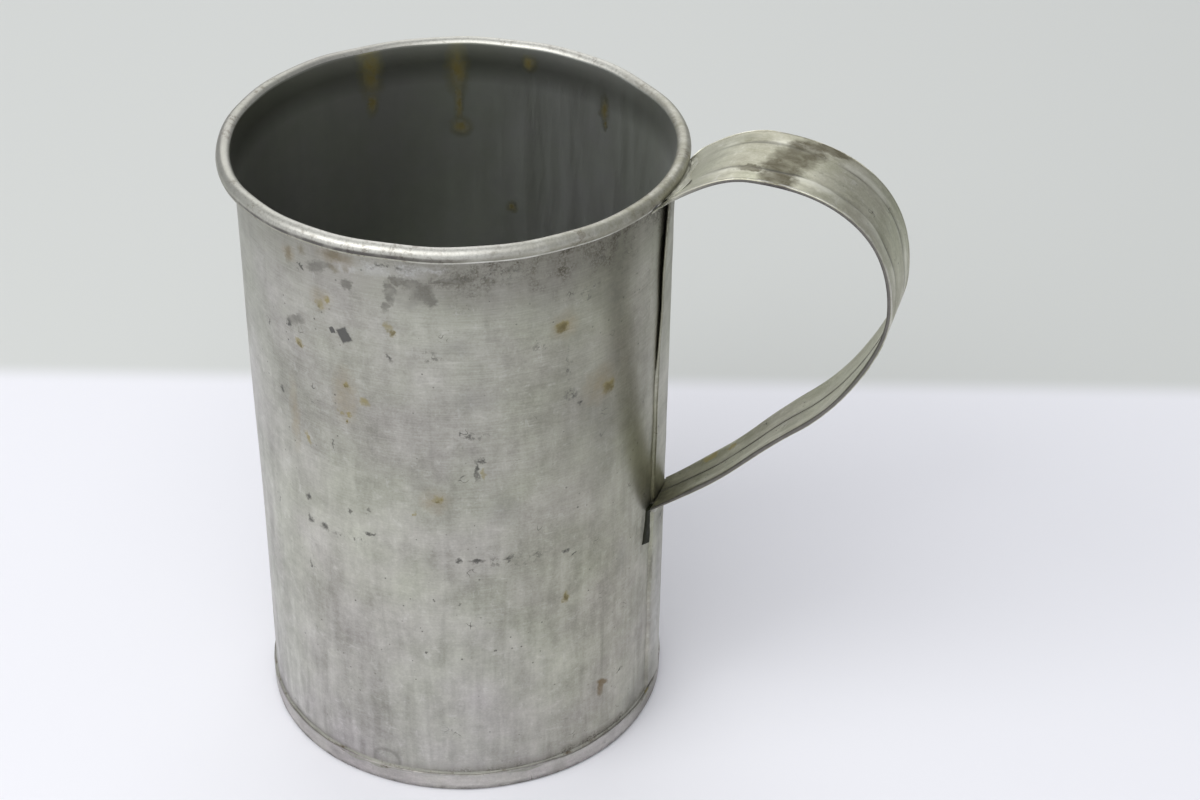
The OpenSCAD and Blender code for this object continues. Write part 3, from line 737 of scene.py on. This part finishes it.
def wall_sheet(plan, tin, dark):
    """The round wall, outside, over the rolled rim and down the inside."""
    low = plan.base_t + 0.02
    bead_x, bead_z = plan.bead_c
    z_out = np.concatenate([np.linspace(low, plan.flare_z, 118)[:-1],
                            np.linspace(plan.flare_z, bead_z - 1.05, 7)])
    r_out = np.where(z_out > plan.flare_z, plan.flare_r(z_out, 1), plan.wall_r)
    # bead in degrees, from under the raw edge of the curl round to the inside
    under = np.linspace(-128, -66, 7)
    over = np.concatenate([[-62, -60, -58], np.linspace(-56, -26, 16), np.linspace(-21, 170, 42)])
    round_bead = np.concatenate([under, over])
    lip = 0.2 * np.exp(-((over + 49) / 4.5) ** 2)
    bead_r = np.concatenate([np.full(len(under), plan.bead_r - 0.3), plan.bead_r + lip])
    bead_r[len(under)] -= 0.06
    r_bead = bead_x + bead_r * np.cos(np.radians(round_bead))
    z_bead = bead_z + bead_r * np.sin(np.radians(round_bead))
    z_in = np.concatenate([np.linspace(bead_z - 0.2, plan.flare_z, 7),
                           np.linspace(plan.flare_z, low, 44)[1:]])
    r_in = np.where(z_in > plan.flare_z, plan.flare_r(z_in, -1), plan.wall_in)
    r = np.concatenate([r_out, r_bead, r_in])
    z = np.concatenate([z_out, z_bead, z_in])
    slots = np.zeros(len(r), int)
    slots[len(r_out) + np.searchsorted(round_bead, 150):] = 1
    # for the finish: the bead, above 1 on its lower half, and the crease under it, below 0 on the raw edge
    at = np.arange(len(r)) - len(r_out)
    on_curl = (at >= len(under)) & (at < len(round_bead))
    bead = on_curl * 1.0
    crease = ((at >= -1) & (at < len(under))) * 1.0
    bead[on_curl] += ease(-over, -28, 28)
    crease[on_curl] += ease(-over, -10, 10) * (1 - ease(-over, 35, 38)) - ease(-over, 37.5, 40.5)
    rows = settle(polar(r, round_steps(WALL_STEPS), z), plan)
    values = {"bead": bead, "crease": crease}
    return loft("wall_sheet", rows, [tin, dark], wrap=True, slots=slots, values=values)


SEAM_EDGE = (0, 60, 100, 120, 138), (-3.3, -3.2, -3.0, -2.3, -1.4)  # where the fold ends, by height
SEAM_OPENS = 88, 106  # heights between which the fold comes away from the wall


def lock_seam(plan, tin):
    """The folded strip of the lock seam, its fold coming away from the wall under the rim."""
    z = column(plan.flange_h + 1.2, plan.flare_z - 0.4, 190)
    thick = 0.6
    half = thick / 2
    edge = np.interp(z, *SEAM_EDGE) + 0.16 * line_waves(z, 3, 26)
    lift = np.interp(z, (0, 60, 90, 105, 120, 140),
                     (0.03, 0.04, 0.08, 0.2, 0.55 * plan.seam_lift, plan.seam_lift))
    lift = np.maximum(lift + 0.02 * line_waves(z, 4, 15), 0.03)
    turn = np.radians(np.linspace(262, 90, 15))
    fold_x = edge + half + half * np.cos(turn)
    fold_h = lift + half + half * np.sin(turn)
    # lower down the fold was sweated shut: a soft shoulder runs from the wall up to the fold
    shut = 1 - ease(z, *SEAM_OPENS)
    v = np.linspace(0, 1, 15)
    shoulder = 0.9
    fold_x += shut * (edge - shoulder + (shoulder + half) * v - fold_x)
    fold_h += shut * ((lift + thick + 0.06) * ease(v, 0, 1) - 0.06 - fold_h)
    # the face of the seam, and its slope down to the wall
    u = np.linspace(0, 1, 16)[1:]
    face_x = edge + half + (plan.seam_half - edge - half) * u
    face_h = plan.seam_up + (lift + thick - plan.seam_up) * (1 - ease(u, 0, 0.85))
    face_h = face_h + 0.025 * waves(grid(face_x, z), 5, 9)
    v = np.linspace(0, 1, 12)[1:]
    slope_x = plan.seam_half + plan.seam_slope * v + 0 * edge
    slope_h = face_h[:, -1:] * (1 + np.cos(math.pi * v)) / 2 - 0.07 * v
    x = side_by_side(fold_x, face_x, slope_x)
    h = side_by_side(fold_h, face_h, slope_h)
    # the back lies in the wall, or under the lifted fold
    start = edge + half - shut * (half + 0.7)
    back_x = start + 0.12 + (plan.seam_half + plan.seam_slope - start - 0.2) * np.linspace(0, 1, x.shape[1])
    deep = ease(back_x - edge, 2.4, 4.2)
    back_h = (lift * (1 - deep) - 0.1 * deep) * (1 - shut) - 0.1 * shut
    rows = polar(plan.wall_r + closed(h, back_h), closed(x, back_x) / plan.wall_r, z)
    return loft("side_seam", settle(rows, plan), [tin])


class MEASURE_OT_wall(bpy.types.Operator):
    """Wall of one sheet with its rim rolled over the wire, its lock seam and the lifted fold"""
    bl_idname = "measure.wall"
    bl_label = "Wall and rim"

    def execute(self, context):
        plan, tin, dark = Plan(), tin_outside(), tin_inside()
        place(wall_sheet(plan, tin, dark), "tinplate_wall", "body_sheet")
        place(lock_seam(plan, tin), "tinplate_wall", "body_sheet")
        return {"FINISHED"}


class MEASURE_OT_wire(bpy.types.Operator):
    """Wire inside the rolled rim"""
    bl_idname = "measure.wire"
    bl_label = "Rim wire"

    def execute(self, context):
        plan = Plan()
        turn = round_steps(20)[:, 0]
        r, z = (middle + plan.wire_d / 2 * f(turn) for middle, f in zip(plan.bead_c, (np.cos, np.sin)))
        rows = settle(polar(r, round_steps(WIRE_STEPS), z), plan)
        place(loft("rim_wire_ring", rows, [wire_steel()], wrap=True), "rim_wire_steel", "rim_wire")
        return {"FINISHED"}


class MEASURE_OT_base(bpy.types.Operator):
    """Base pan set over the foot of the wall, with a ragged flange edge"""
    bl_idname = "measure.base"
    bl_label = "Base pan"

    def execute(self, context):
        plan, angle = Plan(), round_steps(BASE_STEPS)
        ring = polar(plan.wall_r, angle, 0)
        one = np.ones_like(angle)
        # ragged top of the flange, and its rounded edge
        round_off = 0.1
        top = plan.flange_h - 0.25 + 0.22 * waves(ring, 21, 30)
        top = np.minimum(top + 0.1 * waves(ring, 22, 7), plan.flange_h) - round_off
        bend = np.radians(np.linspace(-90, 0, 8))
        inner, outer = plan.base_gap, plan.base_gap + plan.base_t
        out_r = plan.wall_r + outer
        disc = np.linspace(0.02, plan.wall_r, 16)
        dish = 0.28 * (1 - ease(disc, 0, plan.wall_r - 3))
        flange = np.linspace(0, 1, 8)[1:]

        def skin_of(radius, lift):
            """One skin: the dished disc, the bend and the flange."""
            r = np.concatenate([disc, plan.wall_r + radius * np.cos(bend),
                                np.full(len(flange), out_r - (outer - radius))])
            z = side_by_side(one * (dish + lift), one * (outer + radius * np.sin(bend)),
                             outer + (top - outer) * flange)
            return one * r, z

        (front_r, front_z), (back_r, back_z) = skin_of(outer, 0), skin_of(inner, plan.base_t)
        edge = np.radians(np.array([45, 90, 135]))
        edge_r = out_r - plan.base_t / 2 + plan.base_t / 2 * np.cos(edge)
        r = closed(side_by_side(front_r, one * edge_r), back_r)
        z = closed(side_by_side(front_z, top + round_off * np.sin(edge)), back_z)
        wobble = 0.1 * waves(ring, 23, 18) - 0.12
        r = r + wobble * ease(r, plan.wall_r - 1, out_r)
        slots = np.zeros(r.shape[1], int)
        slots[front_r.shape[1] + 2:] = 1
        inside = bpy.data.materials.get("tinplate_tarnished_inside") or tin_inside()
        rows = settle(polar(r, angle, z), plan)
        pan = loft("base_pan_pressed", rows, [tin_base(), inside], wrap=True, slots=slots, weld=True)
        place(pan, "tinplate_base", "base_pan")
        return {"FINISHED"}


def strap_line(plan):
    """The strap's middle line in the handle's plane as (out, up, direction), and the length run so far."""
    up, back = heading(STRAP_RISE), heading(STRAP_FOOT + 180)
    end_r = plan.flare_r(plan.bead_c[1] - STRAP_MEETS, 1) + FIT
    drop = plan.bead_r + plan.strap_t / 2 + 0.2 + (plan.bead_c[0] - end_r) * up[1]
    end = np.array([end_r, plan.bead_c[1] - drop / up[0]])
    lead = end + STRAP_LEAD * up
    crest, reach = (np.array([plan.wall_r, plan.height]) + spot for spot in (STRAP_CREST, STRAP_REACH))
    low = np.array([plan.wall_r + plan.seam_up + FIT, plan.foot_z])
    run_in = low + (plan.wall_r + STRAP_RUN_IN - low[0]) / back[0] * back
    waist = reach + (run_in - reach) * np.array([0.432, 0.592])
    # legs of the line: both ends, headings there in degrees, and how strongly each end holds its heading
    legs = ((end, lead, STRAP_RISE, STRAP_RISE, 1 / 3, 1 / 3), (lead, crest, STRAP_RISE, 0, 0.34, 0.36),
            (crest, reach, 0, -90, 0.4155, 0.479), (reach, waist, -90, STRAP_WAIST, 0.254, 0.319),
            (waist, run_in, STRAP_WAIST, STRAP_FOOT, 0.372, 0.381),
            (run_in, low, STRAP_FOOT, STRAP_FOOT, 1 / 3, 1 / 3))
    line = []
    for p, q, p_way, q_way, p_hold, q_hold in legs:
        size = np.linalg.norm(q - p)
        b, c = p + p_hold * size * heading(p_way), q - q_hold * size * heading(q_way)
        t = column(0, 1, 40)[1 if line else 0:]
        point = (1 - t) ** 3 * p + 3 * (1 - t) ** 2 * t * b + 3 * (1 - t) * t * t * c + t ** 3 * q
        way = (1 - t) ** 2 * (b - p) + 2 * (1 - t) * t * (c - b) + t * t * (q - c)
        line.extend(np.column_stack([point, np.arctan2(way[:, 1], way[:, 0])]))
    line = np.array(line)
    run = np.concatenate([[0], np.cumsum(np.linalg.norm(np.diff(line[:, :2], axis=0), axis=1))])
    return line, run


def skin(w, gap, half, fold_r, deep):
    """Across and normal places of a folded strap's skin, deep in the sheet, and the face each point is on."""
    e, f, r = w / 2 - fold_r, gap / 2, fold_r - deep
    u = np.linspace(0, 1, 9)
    turn = np.radians(np.linspace(270, 90, 13))[1:-1]
    across = np.linspace(-1, 1, 41)
    hem_c, hem_n = f + (e - f) * u, -half + deep - 2 * (fold_r - half) * ease(u, 0.45, 1)
    turn_c, turn_n = e - r * np.cos(turn), half - fold_r + r * np.sin(turn)
    c = side_by_side(-hem_c, -turn_c, e * across, turn_c[:, ::-1], hem_c[:, ::-1])
    n = side_by_side(hem_n, turn_n, half - deep + 0 * e * across, turn_n[:, ::-1], hem_n[:, ::-1])
    face = np.repeat((-1, 0, 1, 0, -1), (len(u), len(turn), len(across), len(turn), len(u)))
    return c, n, face + 0 * c


def bend_strap(x, z, a, s, c, n):
    """Places cross-section points along the strap: hollowed to the wall at the top, both ends cut to fit."""
    px, pz = x - n * np.sin(a), z + n * np.cos(a)
    for row, goal in ((0, x[0] + 0 * c[0]), (-1, np.sqrt(x[-1] ** 2 - c[-1] ** 2))):
        shift = goal - px[row]
        px[row] += shift
        pz[row] += shift * np.tan(a[row])
    wrap = 1 - ease(s, STRAP_LEAD, STRAP_LEAD + 16)
    px = px - wrap * (px - np.sqrt(px ** 2 - c ** 2))
    return np.stack([px, c, pz], -1)


def strap_rows(plan):
    """Rows of the strap's cross-section, with what its finish needs to know."""
    line, run = strap_line(plan)
    total = run[-1]
    s = np.concatenate([[0, 0.9], np.linspace(1.8, total - 2, 196), [total - 1, total]])[:, None]
    bent = [np.interp(s, run, row) for row in (line[:, 0], line[:, 1], np.unwrap(line[:, 2]))]
    # width, with the trimmed top end, and the gap between the hems
    u = np.minimum(1, s / 9)
    w = (plan.strap_top_w + (plan.strap_foot_w - plan.strap_top_w) * s / total
         - (plan.strap_top_w - plan.strap_end_w) * (1 - u) ** 2 * (1 + 2 * u))
    w = w - 0.08 + 0.06 * line_waves(s, 31, 24)
    gap = np.minimum((plan.strap_top_w - 2 * plan.hem_w) * (1 - s / (0.6 * total)), w - 4)
    gap = np.maximum(gap, plan.hem_gap + 0.12 * line_waves(s, 32, 14))
    ends = np.minimum(ease(s, 1, 14), 1 - ease(s, total - 14, total - 1))
    half = plan.strap_t / 2
    fold_r = half + 0.24 * ends * (0.85 + 0.15 * line_waves(s, 38, 20))
    c_out, n_fold, face = skin(w, gap, half, fold_r, 0)
    c_in, n_in, _ = skin(w, gap, half, fold_r, plan.sheet)
    # relief of the outer face: hems showing through as wavy creases, edges a little lower than the middle
    front, inner, turned = face > 0, face < 0, face == 0
    rel = np.abs(c_out) / (w / 2)
    crease = 0.5 + 0.04 * np.where(c_out > 0, line_waves(s, 33, 22), line_waves(s, 34, 19))
    fade = ease(s, 8, 20) * (1 - 0.75 * ease(s, 100, 135))
    off = (rel - crease) * w / 2
    relief = (-0.16 * np.exp(-(off / 0.45) ** 2) + 0.06 * np.exp(-((off - 1.0) / 0.6) ** 2)) * fade
    spread = grid(s, c_out)
    relief = relief - 0.12 * rel ** 2 + 0.03 * (waves(spread, 35, 12) - 1.6)
    n_out = n_fold + np.where(front, relief, 0.04 * waves(spread, 36, 12) * inner)
    bow = 0.05 * (line_waves(s, 37, 45) - 1.4) * ends
    rows = closed(bend_strap(*bent, s, c_out, n_out + bow), bend_strap(*bent, s, c_in, n_in + bow))
    # hems, dirty creases and raw edges, folded edges
    zero = 0 * c_out
    broken = 0.6 + 0.4 * np.clip(waves(spread, 39, 7), -1, 1)
    hem = np.where(front, ease(off, 0.1, 0.5) * (1 - ease(off, 1.2, 3.4)) * fade, 0)
    fold = np.where(front, broken * np.exp(-(off / 0.4) ** 2) * fade, 0)
    fold[:, [0, -1]] = np.maximum(fold[:, [0, -1]], 0.7)
    edge = np.where(turned, (n_fold - half + fold_r) / fold_r, 0)
    values = {"along": s, "across": closed(c_out, c_in), "inner": closed(inner * 1.0, zero + 1),
              "fold": closed(fold, zero + 1), "folded": closed(turned * 1.0, zero),
              "hem": closed(hem, zero), "edge": closed(edge, zero)}
    return rows, values


class MEASURE_OT_handle(bpy.types.Operator):
    """Strap handle with both edges folded in, bent by hand from the rim round to its foot"""
    bl_idname = "measure.handle"
    bl_label = "Strap handle"

    def execute(self, context):
        rows, values = strap_rows(Plan())
        place(loft("strap_handle", rows, [strap_tin()], values=values), "tinplate_handle", "handle_strap")
        return {"FINISHED"}


def inside_run(plan, grey):
    """A thin wiped run of solder down the inside of the seam."""
    z = column(plan.flange_h + 1.4, plan.flare_z - 0.5, 170)
    u = np.linspace(-1, 1, 13)
    x = 5.7 + 0.25 * line_waves(z, 42, 30) + (1.9 + 0.35 * line_waves(z, 41, 12)) * u
    body = (1 - u ** 2) * (0.24 + 0.07 * waves(grid(x, z), 43, 5))
    front = polar(plan.wall_in - body + 0.02, x / plan.wall_r, z)
    back = polar(plan.wall_in + 0.12, x / plan.wall_r, z)
    return loft("seam_solder_run", settle(closed(front, back), plan), [grey])


def base_ring(plan, grey):
    """The uneven fillet between the wall and the flange of the base."""
    angle = round_steps(FILLET_STEPS)
    ring = polar(plan.wall_r, angle, 0)
    lump = np.clip(0.5 + 0.2 * waves(ring, 51, 24) + 0.08 * waves(ring, 52, 5), 0.12, 1.15)
    u = np.linspace(0, 1, 9)
    out_r = plan.wall_r + plan.base_gap + 0.7 * plan.base_t
    r = out_r - (out_r - plan.wall_r + 0.06) * u ** 0.8
    z = plan.flange_h - 0.45 + (lump * 0.9 + 0.25) * u ** 1.7
    r = r + 0.03 * waves(polar(plan.wall_r, angle, 9 * z), 53, 4)
    back = polar(plan.wall_r - 0.05 + plan.base_gap * (1 - u), angle, plan.base_t + plan.base_gap + u * 2.4)
    rows = settle(closed(polar(r, angle, z), back), plan)
    return loft("base_solder_ring", rows, [grey], wrap=True, values={"burnt_flux_and_shade": 0.3})


def top_joint(plan, grey):
    """Lumpy solder that fills the corner between the rolled rim and the strap and spreads thinly over it."""
    start_of_strap = strap_line(plan)[0][0, :2]
    half = plan.strap_end_w / 2 + 0.4
    x = column(-half, half, 96)
    v = np.linspace(0, 1, 27)
    full = np.clip(1 - (np.abs(x) / half) ** 8, 0.2, 1)
    up = heading(STRAP_RISE)
    out = np.array([-up[1], up[0]])
    touch = start_of_strap + up * ((plan.bead_c - start_of_strap) @ up)
    turn = np.radians(-26 - 14 * (1 - full))
    fill, spread = ease(v, 0, 0.4), np.clip((v - 0.4) / 0.6, 0, 1)
    near = 0.9 + 0.5 * full
    reach = 1.7 + full * (1.2 + 2.2 * ease(-x, -1, 6) + 0.4 * line_waves(x, 61, 7))
    along = near + (reach - near) * spread
    lumps = waves(grid(x, along * 1.2), 62, 2.2)
    grains = np.clip(waves(grid(x, along), 64, 1.3), -1, 1)
    feather = 1 - ease(spread, 0, 1)
    thick = (plan.strap_t / 2 + (0.14 + 0.1 * lumps) * feather * full
             - (0.05 + 0.12 * (x / half) ** 2) * spread
             + 0.14 * ease(-x, 1, 6) * (1 + grains) * feather * full ** 2)
    dip = 0.3 * np.sin(math.pi * fill) * (1 - 0.4 * lumps)
    front, back = [], []
    for middle, f, hollow, deep, on, u, o in zip(plan.bead_c, (np.cos, np.sin), (0.2, 0.8), (0.4, 0.9),
                                                 touch, up, out):
        start, root = middle + (plan.bead_r - 0.05) * f(turn), middle - deep
        front.append(start + (on + along * u + thick * o - start) * fill - dip * hollow)
        back.append(root + (on + along * u - root) * fill)
    angle = x / (plan.wall_r + 1)
    rows = closed(polar(front[0], angle, front[1]), polar(back[0], angle, back[1]))
    clean = ease(v, 0.15, 0.5)
    return loft("top_solder", rows, [grey], values={"wiped": np.concatenate([clean, clean])})


def foot_joint(plan, grey):
    """Fillet under the strap's foot, and a scorched run beside the seam, near black and without sheen:
    scorched flux and painted shade of the gap beside the fold.
    """
    way = heading(STRAP_FOOT + 180)
    half = plan.strap_foot_w / 2 - 0.5
    x = column(-half, half, 60)
    slope = ease(x, plan.seam_half, plan.seam_half + 2.6)
    rise = plan.seam_up * np.where(x < 0, ease(x, -3.6, -2.8), 1 - slope)
    full = np.clip(1 - (np.abs(x) / half) ** 5, 0.05, 1) * (0.85 + 0.2 * line_waves(x, 71, 5))
    v = np.linspace(0, 1, 12)
    # from the wall below the foot to the underside of the strap, hollow between
    a_r, a_z = plan.wall_r + rise - 0.05, plan.foot_z - 1.3 - 2.4 * full
    b_r = plan.wall_r + plan.seam_up + FIT + way[1] * plan.strap_t / 2 + 1.5 * full * way[0]
    b_z = plan.foot_z - way[0] * plan.strap_t / 2 + 1.5 * full * way[1] + 0.03
    dip = np.sin(math.pi * v) * (0.35 + 0.1 * waves(grid(x, 5 * v), 72, 3)) * 0.5 * full
    front = polar(a_r + (b_r - a_r) * v - dip, x / plan.wall_r, a_z + (b_z - a_z) * v + dip)
    back = polar(plan.wall_r + rise - 0.3 + 0.5 * v, x / plan.wall_r, plan.foot_z - 1.0 + 0.6 * v)
    fillet = loft("foot_solder", closed(front, back), [grey], values={"burnt_flux_and_shade": ease(-x, 2.4, 4.5)})
    # scorched run beside the seam's fold, square at its lower end: flux, and painted shade of the gap beside
    # the fold
    u = np.linspace(-1, 1, 11)
    drop = column(1, 0, 40)
    z = plan.foot_z - 0.5 - drop * (10.2 + 1.1 * u)
    level = z[:, 5:6]
    mid = -5.1 - 0.6 * drop + 0.1 * line_waves(level, 73, 6)
    wide = 1.5 + 0.7 * ease(drop, 0.3, 0.8) + 0.16 * line_waves(level, 74, 4)
    thick = 0.2 * (1 - u ** 4) * np.minimum(1, (1 - drop) / 0.04) + 0.04
    angle = (mid + wide * u) / plan.wall_r
    rows = closed(polar(plan.wall_r + thick, angle, z), polar(plan.wall_r - 0.1, angle, z))
    return join([fillet, loft("foot_flux_run_and_shade", rows, [grey], values={"burnt_flux_and_shade": 1.0})])


class MEASURE_OT_solder(bpy.types.Operator):
    """Solder of the four joints: inside the seam, round the base, and at both ends of the strap"""
    bl_idname = "measure.solder"
    bl_label = "Solder"

    def execute(self, context):
        plan, grey = Plan(), solder_grey()
        place(inside_run(plan, grey), "solder", "side_seam_solder")
        place(base_ring(plan, grey), "solder", "base_seam_solder")
        place(top_joint(plan, grey), "solder", "handle_top_solder")
        place(foot_joint(plan, grey), "solder", "handle_foot_solder")
        return {"FINISHED"}


# Stage

CAMERA_HIGH, CAMERA_TURN, CAMERA_ROLL = 34.06, 17.21, 0.91  # degrees
CAMERA_SHIFT = (0.03217, 0.06484, 0.5533)  # metres to the right, up and back
SENSOR = 36  # millimetres
FOCUS = 2197 / 1200  # lens over sensor
FLOOR_R, FLOOR_SIDES, FLOOR_BELOW = 9, 96, 0.00005  # metres, but for the count of its sides
FLOOR_END = (120, 132)  # where the floor gives way to the grey, in millimetres behind the measure
LIT_PLACE = (0, 0, 0.07)  # what the lights are aimed at
# name, place, size in metres and power of each light
LIGHTS = (("window", (-0.72, -0.85, 0.95), 0.8, 6.0), ("front", (0.05, -0.8, 1.1), 1.2, 8.2),
          ("behind", (-0.35, 1.0, 0.9), 1.2, 5.0))


def add_camera(scene):
    """Camera fitted to the picture: 66 mm lens, 34 degrees above the table, the handle to its right."""
    high, turn, roll = (math.radians(a) for a in (CAMERA_HIGH, CAMERA_TURN, CAMERA_ROLL))
    spin = Matrix.Rotation(turn, 3, "Z")
    back = spin @ Vector((0, -math.cos(high), math.sin(high)))
    right = spin @ Vector((1, 0, 0))
    up = back.cross(right)
    axes = Matrix((right * math.cos(roll) + up * math.sin(roll), up * math.cos(roll) - right * math.sin(roll),
                   back)).transposed()
    data = bpy.data.cameras.new("camera")
    data.sensor_fit, data.sensor_width, data.lens = "HORIZONTAL", SENSOR, FOCUS * SENSOR
    data.clip_start = 0.01
    camera = bpy.data.objects.new("camera", data)
    shift = right * CAMERA_SHIFT[0] + up * CAMERA_SHIFT[1] + back * CAMERA_SHIFT[2]
    camera.matrix_world = Matrix.Translation(shift) @ axes.to_4x4()
    scene.collection.objects.link(camera)
    scene.camera = camera


def add_floor(scene):
    """A wide round floor of matt card, white near the measure and pale grey beyond a line behind it."""
    mesh = bpy.data.meshes.new("floor")
    corners = polar(FLOOR_R, round_steps(FLOOR_SIDES)[:, 0], 0)
    mesh.from_pydata(corners.tolist(), [], [list(range(FLOOR_SIDES))])
    floor = bpy.data.objects.new("floor", mesh)
    floor.location.z = -FLOOR_BELOW
    scene.collection.objects.link(floor)
    card = Finish("floor_matt_card")
    x, y, _ = card.axes()
    c, s = heading(CAMERA_TURN)
    far = card.calc("MULTIPLY_ADD", x, -s, card.times(y, c))
    far = card.add("MapRange", {"Value": far, "From Min": FLOOR_END[0], "From Max": FLOOR_END[1]},
                   interpolation_type="SMOOTHSTEP")
    card.feed(card.surface, {"Base Color": card.mix(far, "floor", "back"), "Roughness": 0.7,
                             "Specular IOR Level": 0.2})
    mesh.materials.append(card.material)
    return floor


def add_lights(scene):
    """A window light from the front left, a broad one in front and one behind, with an even pale surround."""
    world = bpy.data.worlds.new("surround")
    world.use_nodes = True
    surround = world.node_tree.nodes["Background"].inputs
    surround[0].default_value, surround[1].default_value = linear("F4F6FA"), 0.51
    scene.world = world
    for name, spot, size, power in LIGHTS:
        data = bpy.data.lights.new(name, "AREA")
        data.shape, data.size, data.energy = "SQUARE", size, power
        light = bpy.data.objects.new(name, data)
        light.location = spot
        light.rotation_euler = (Vector(LIT_PLACE) - Vector(spot)).to_track_quat("-Z", "Y").to_euler()
        scene.collection.objects.link(light)


class MEASURE_OT_stage(bpy.types.Operator):
    """Pale floor, soft light from three sides, and the camera"""
    bl_idname = "measure.stage"
    bl_label = "Stage"

    def execute(self, context):
        scene = context.scene
        scene.view_settings.view_transform = "Standard"
        add_camera(scene)
        add_floor(scene)
        add_lights(scene)
        return {"FINISHED"}


class MEASURE_PT_panel(bpy.types.Panel):
    """Lists the pieces of the measure with their sizes and colours"""
    bl_label = "Tinplate measure"
    bl_idname = "MEASURE_PT_panel"
    bl_space_type = "VIEW_3D"
    bl_region_type = "UI"
    bl_category = "Measure"

    def draw(self, context):
        for operator in OPERATORS:
            self.layout.operator(operator.bl_idname)
        for group in (context.scene.measure_sizes, context.scene.measure_colours):
            for key in type(group).__annotations__:
                self.layout.prop(group, key)


OPERATORS = (MEASURE_OT_wall, MEASURE_OT_wire, MEASURE_OT_base, MEASURE_OT_handle, MEASURE_OT_solder,
             MEASURE_OT_stage)
CLASSES = (MeasureSizes, MeasureColours) + OPERATORS + (MEASURE_PT_panel,)


def register():
    """Registers the classes and hangs the sizes and colours on the scene."""
    for cls in CLASSES:
        bpy.utils.register_class(cls)
    bpy.types.Scene.measure_sizes = bpy.props.PointerProperty(type=MeasureSizes)
    bpy.types.Scene.measure_colours = bpy.props.PointerProperty(type=MeasureColours)


def unregister():
    """Takes off what register put on."""
    del bpy.types.Scene.measure_colours
    del bpy.types.Scene.measure_sizes
    for cls in reversed(CLASSES):
        bpy.utils.unregister_class(cls)


def main():
    """Builds the measure and its stage."""
    register()
    bpy.ops.measure.wall()
    bpy.ops.measure.wire()
    bpy.ops.measure.base()
    bpy.ops.measure.handle()
    bpy.ops.measure.solder()
    bpy.ops.measure.stage()


if __name__ == "__main__":
    main()
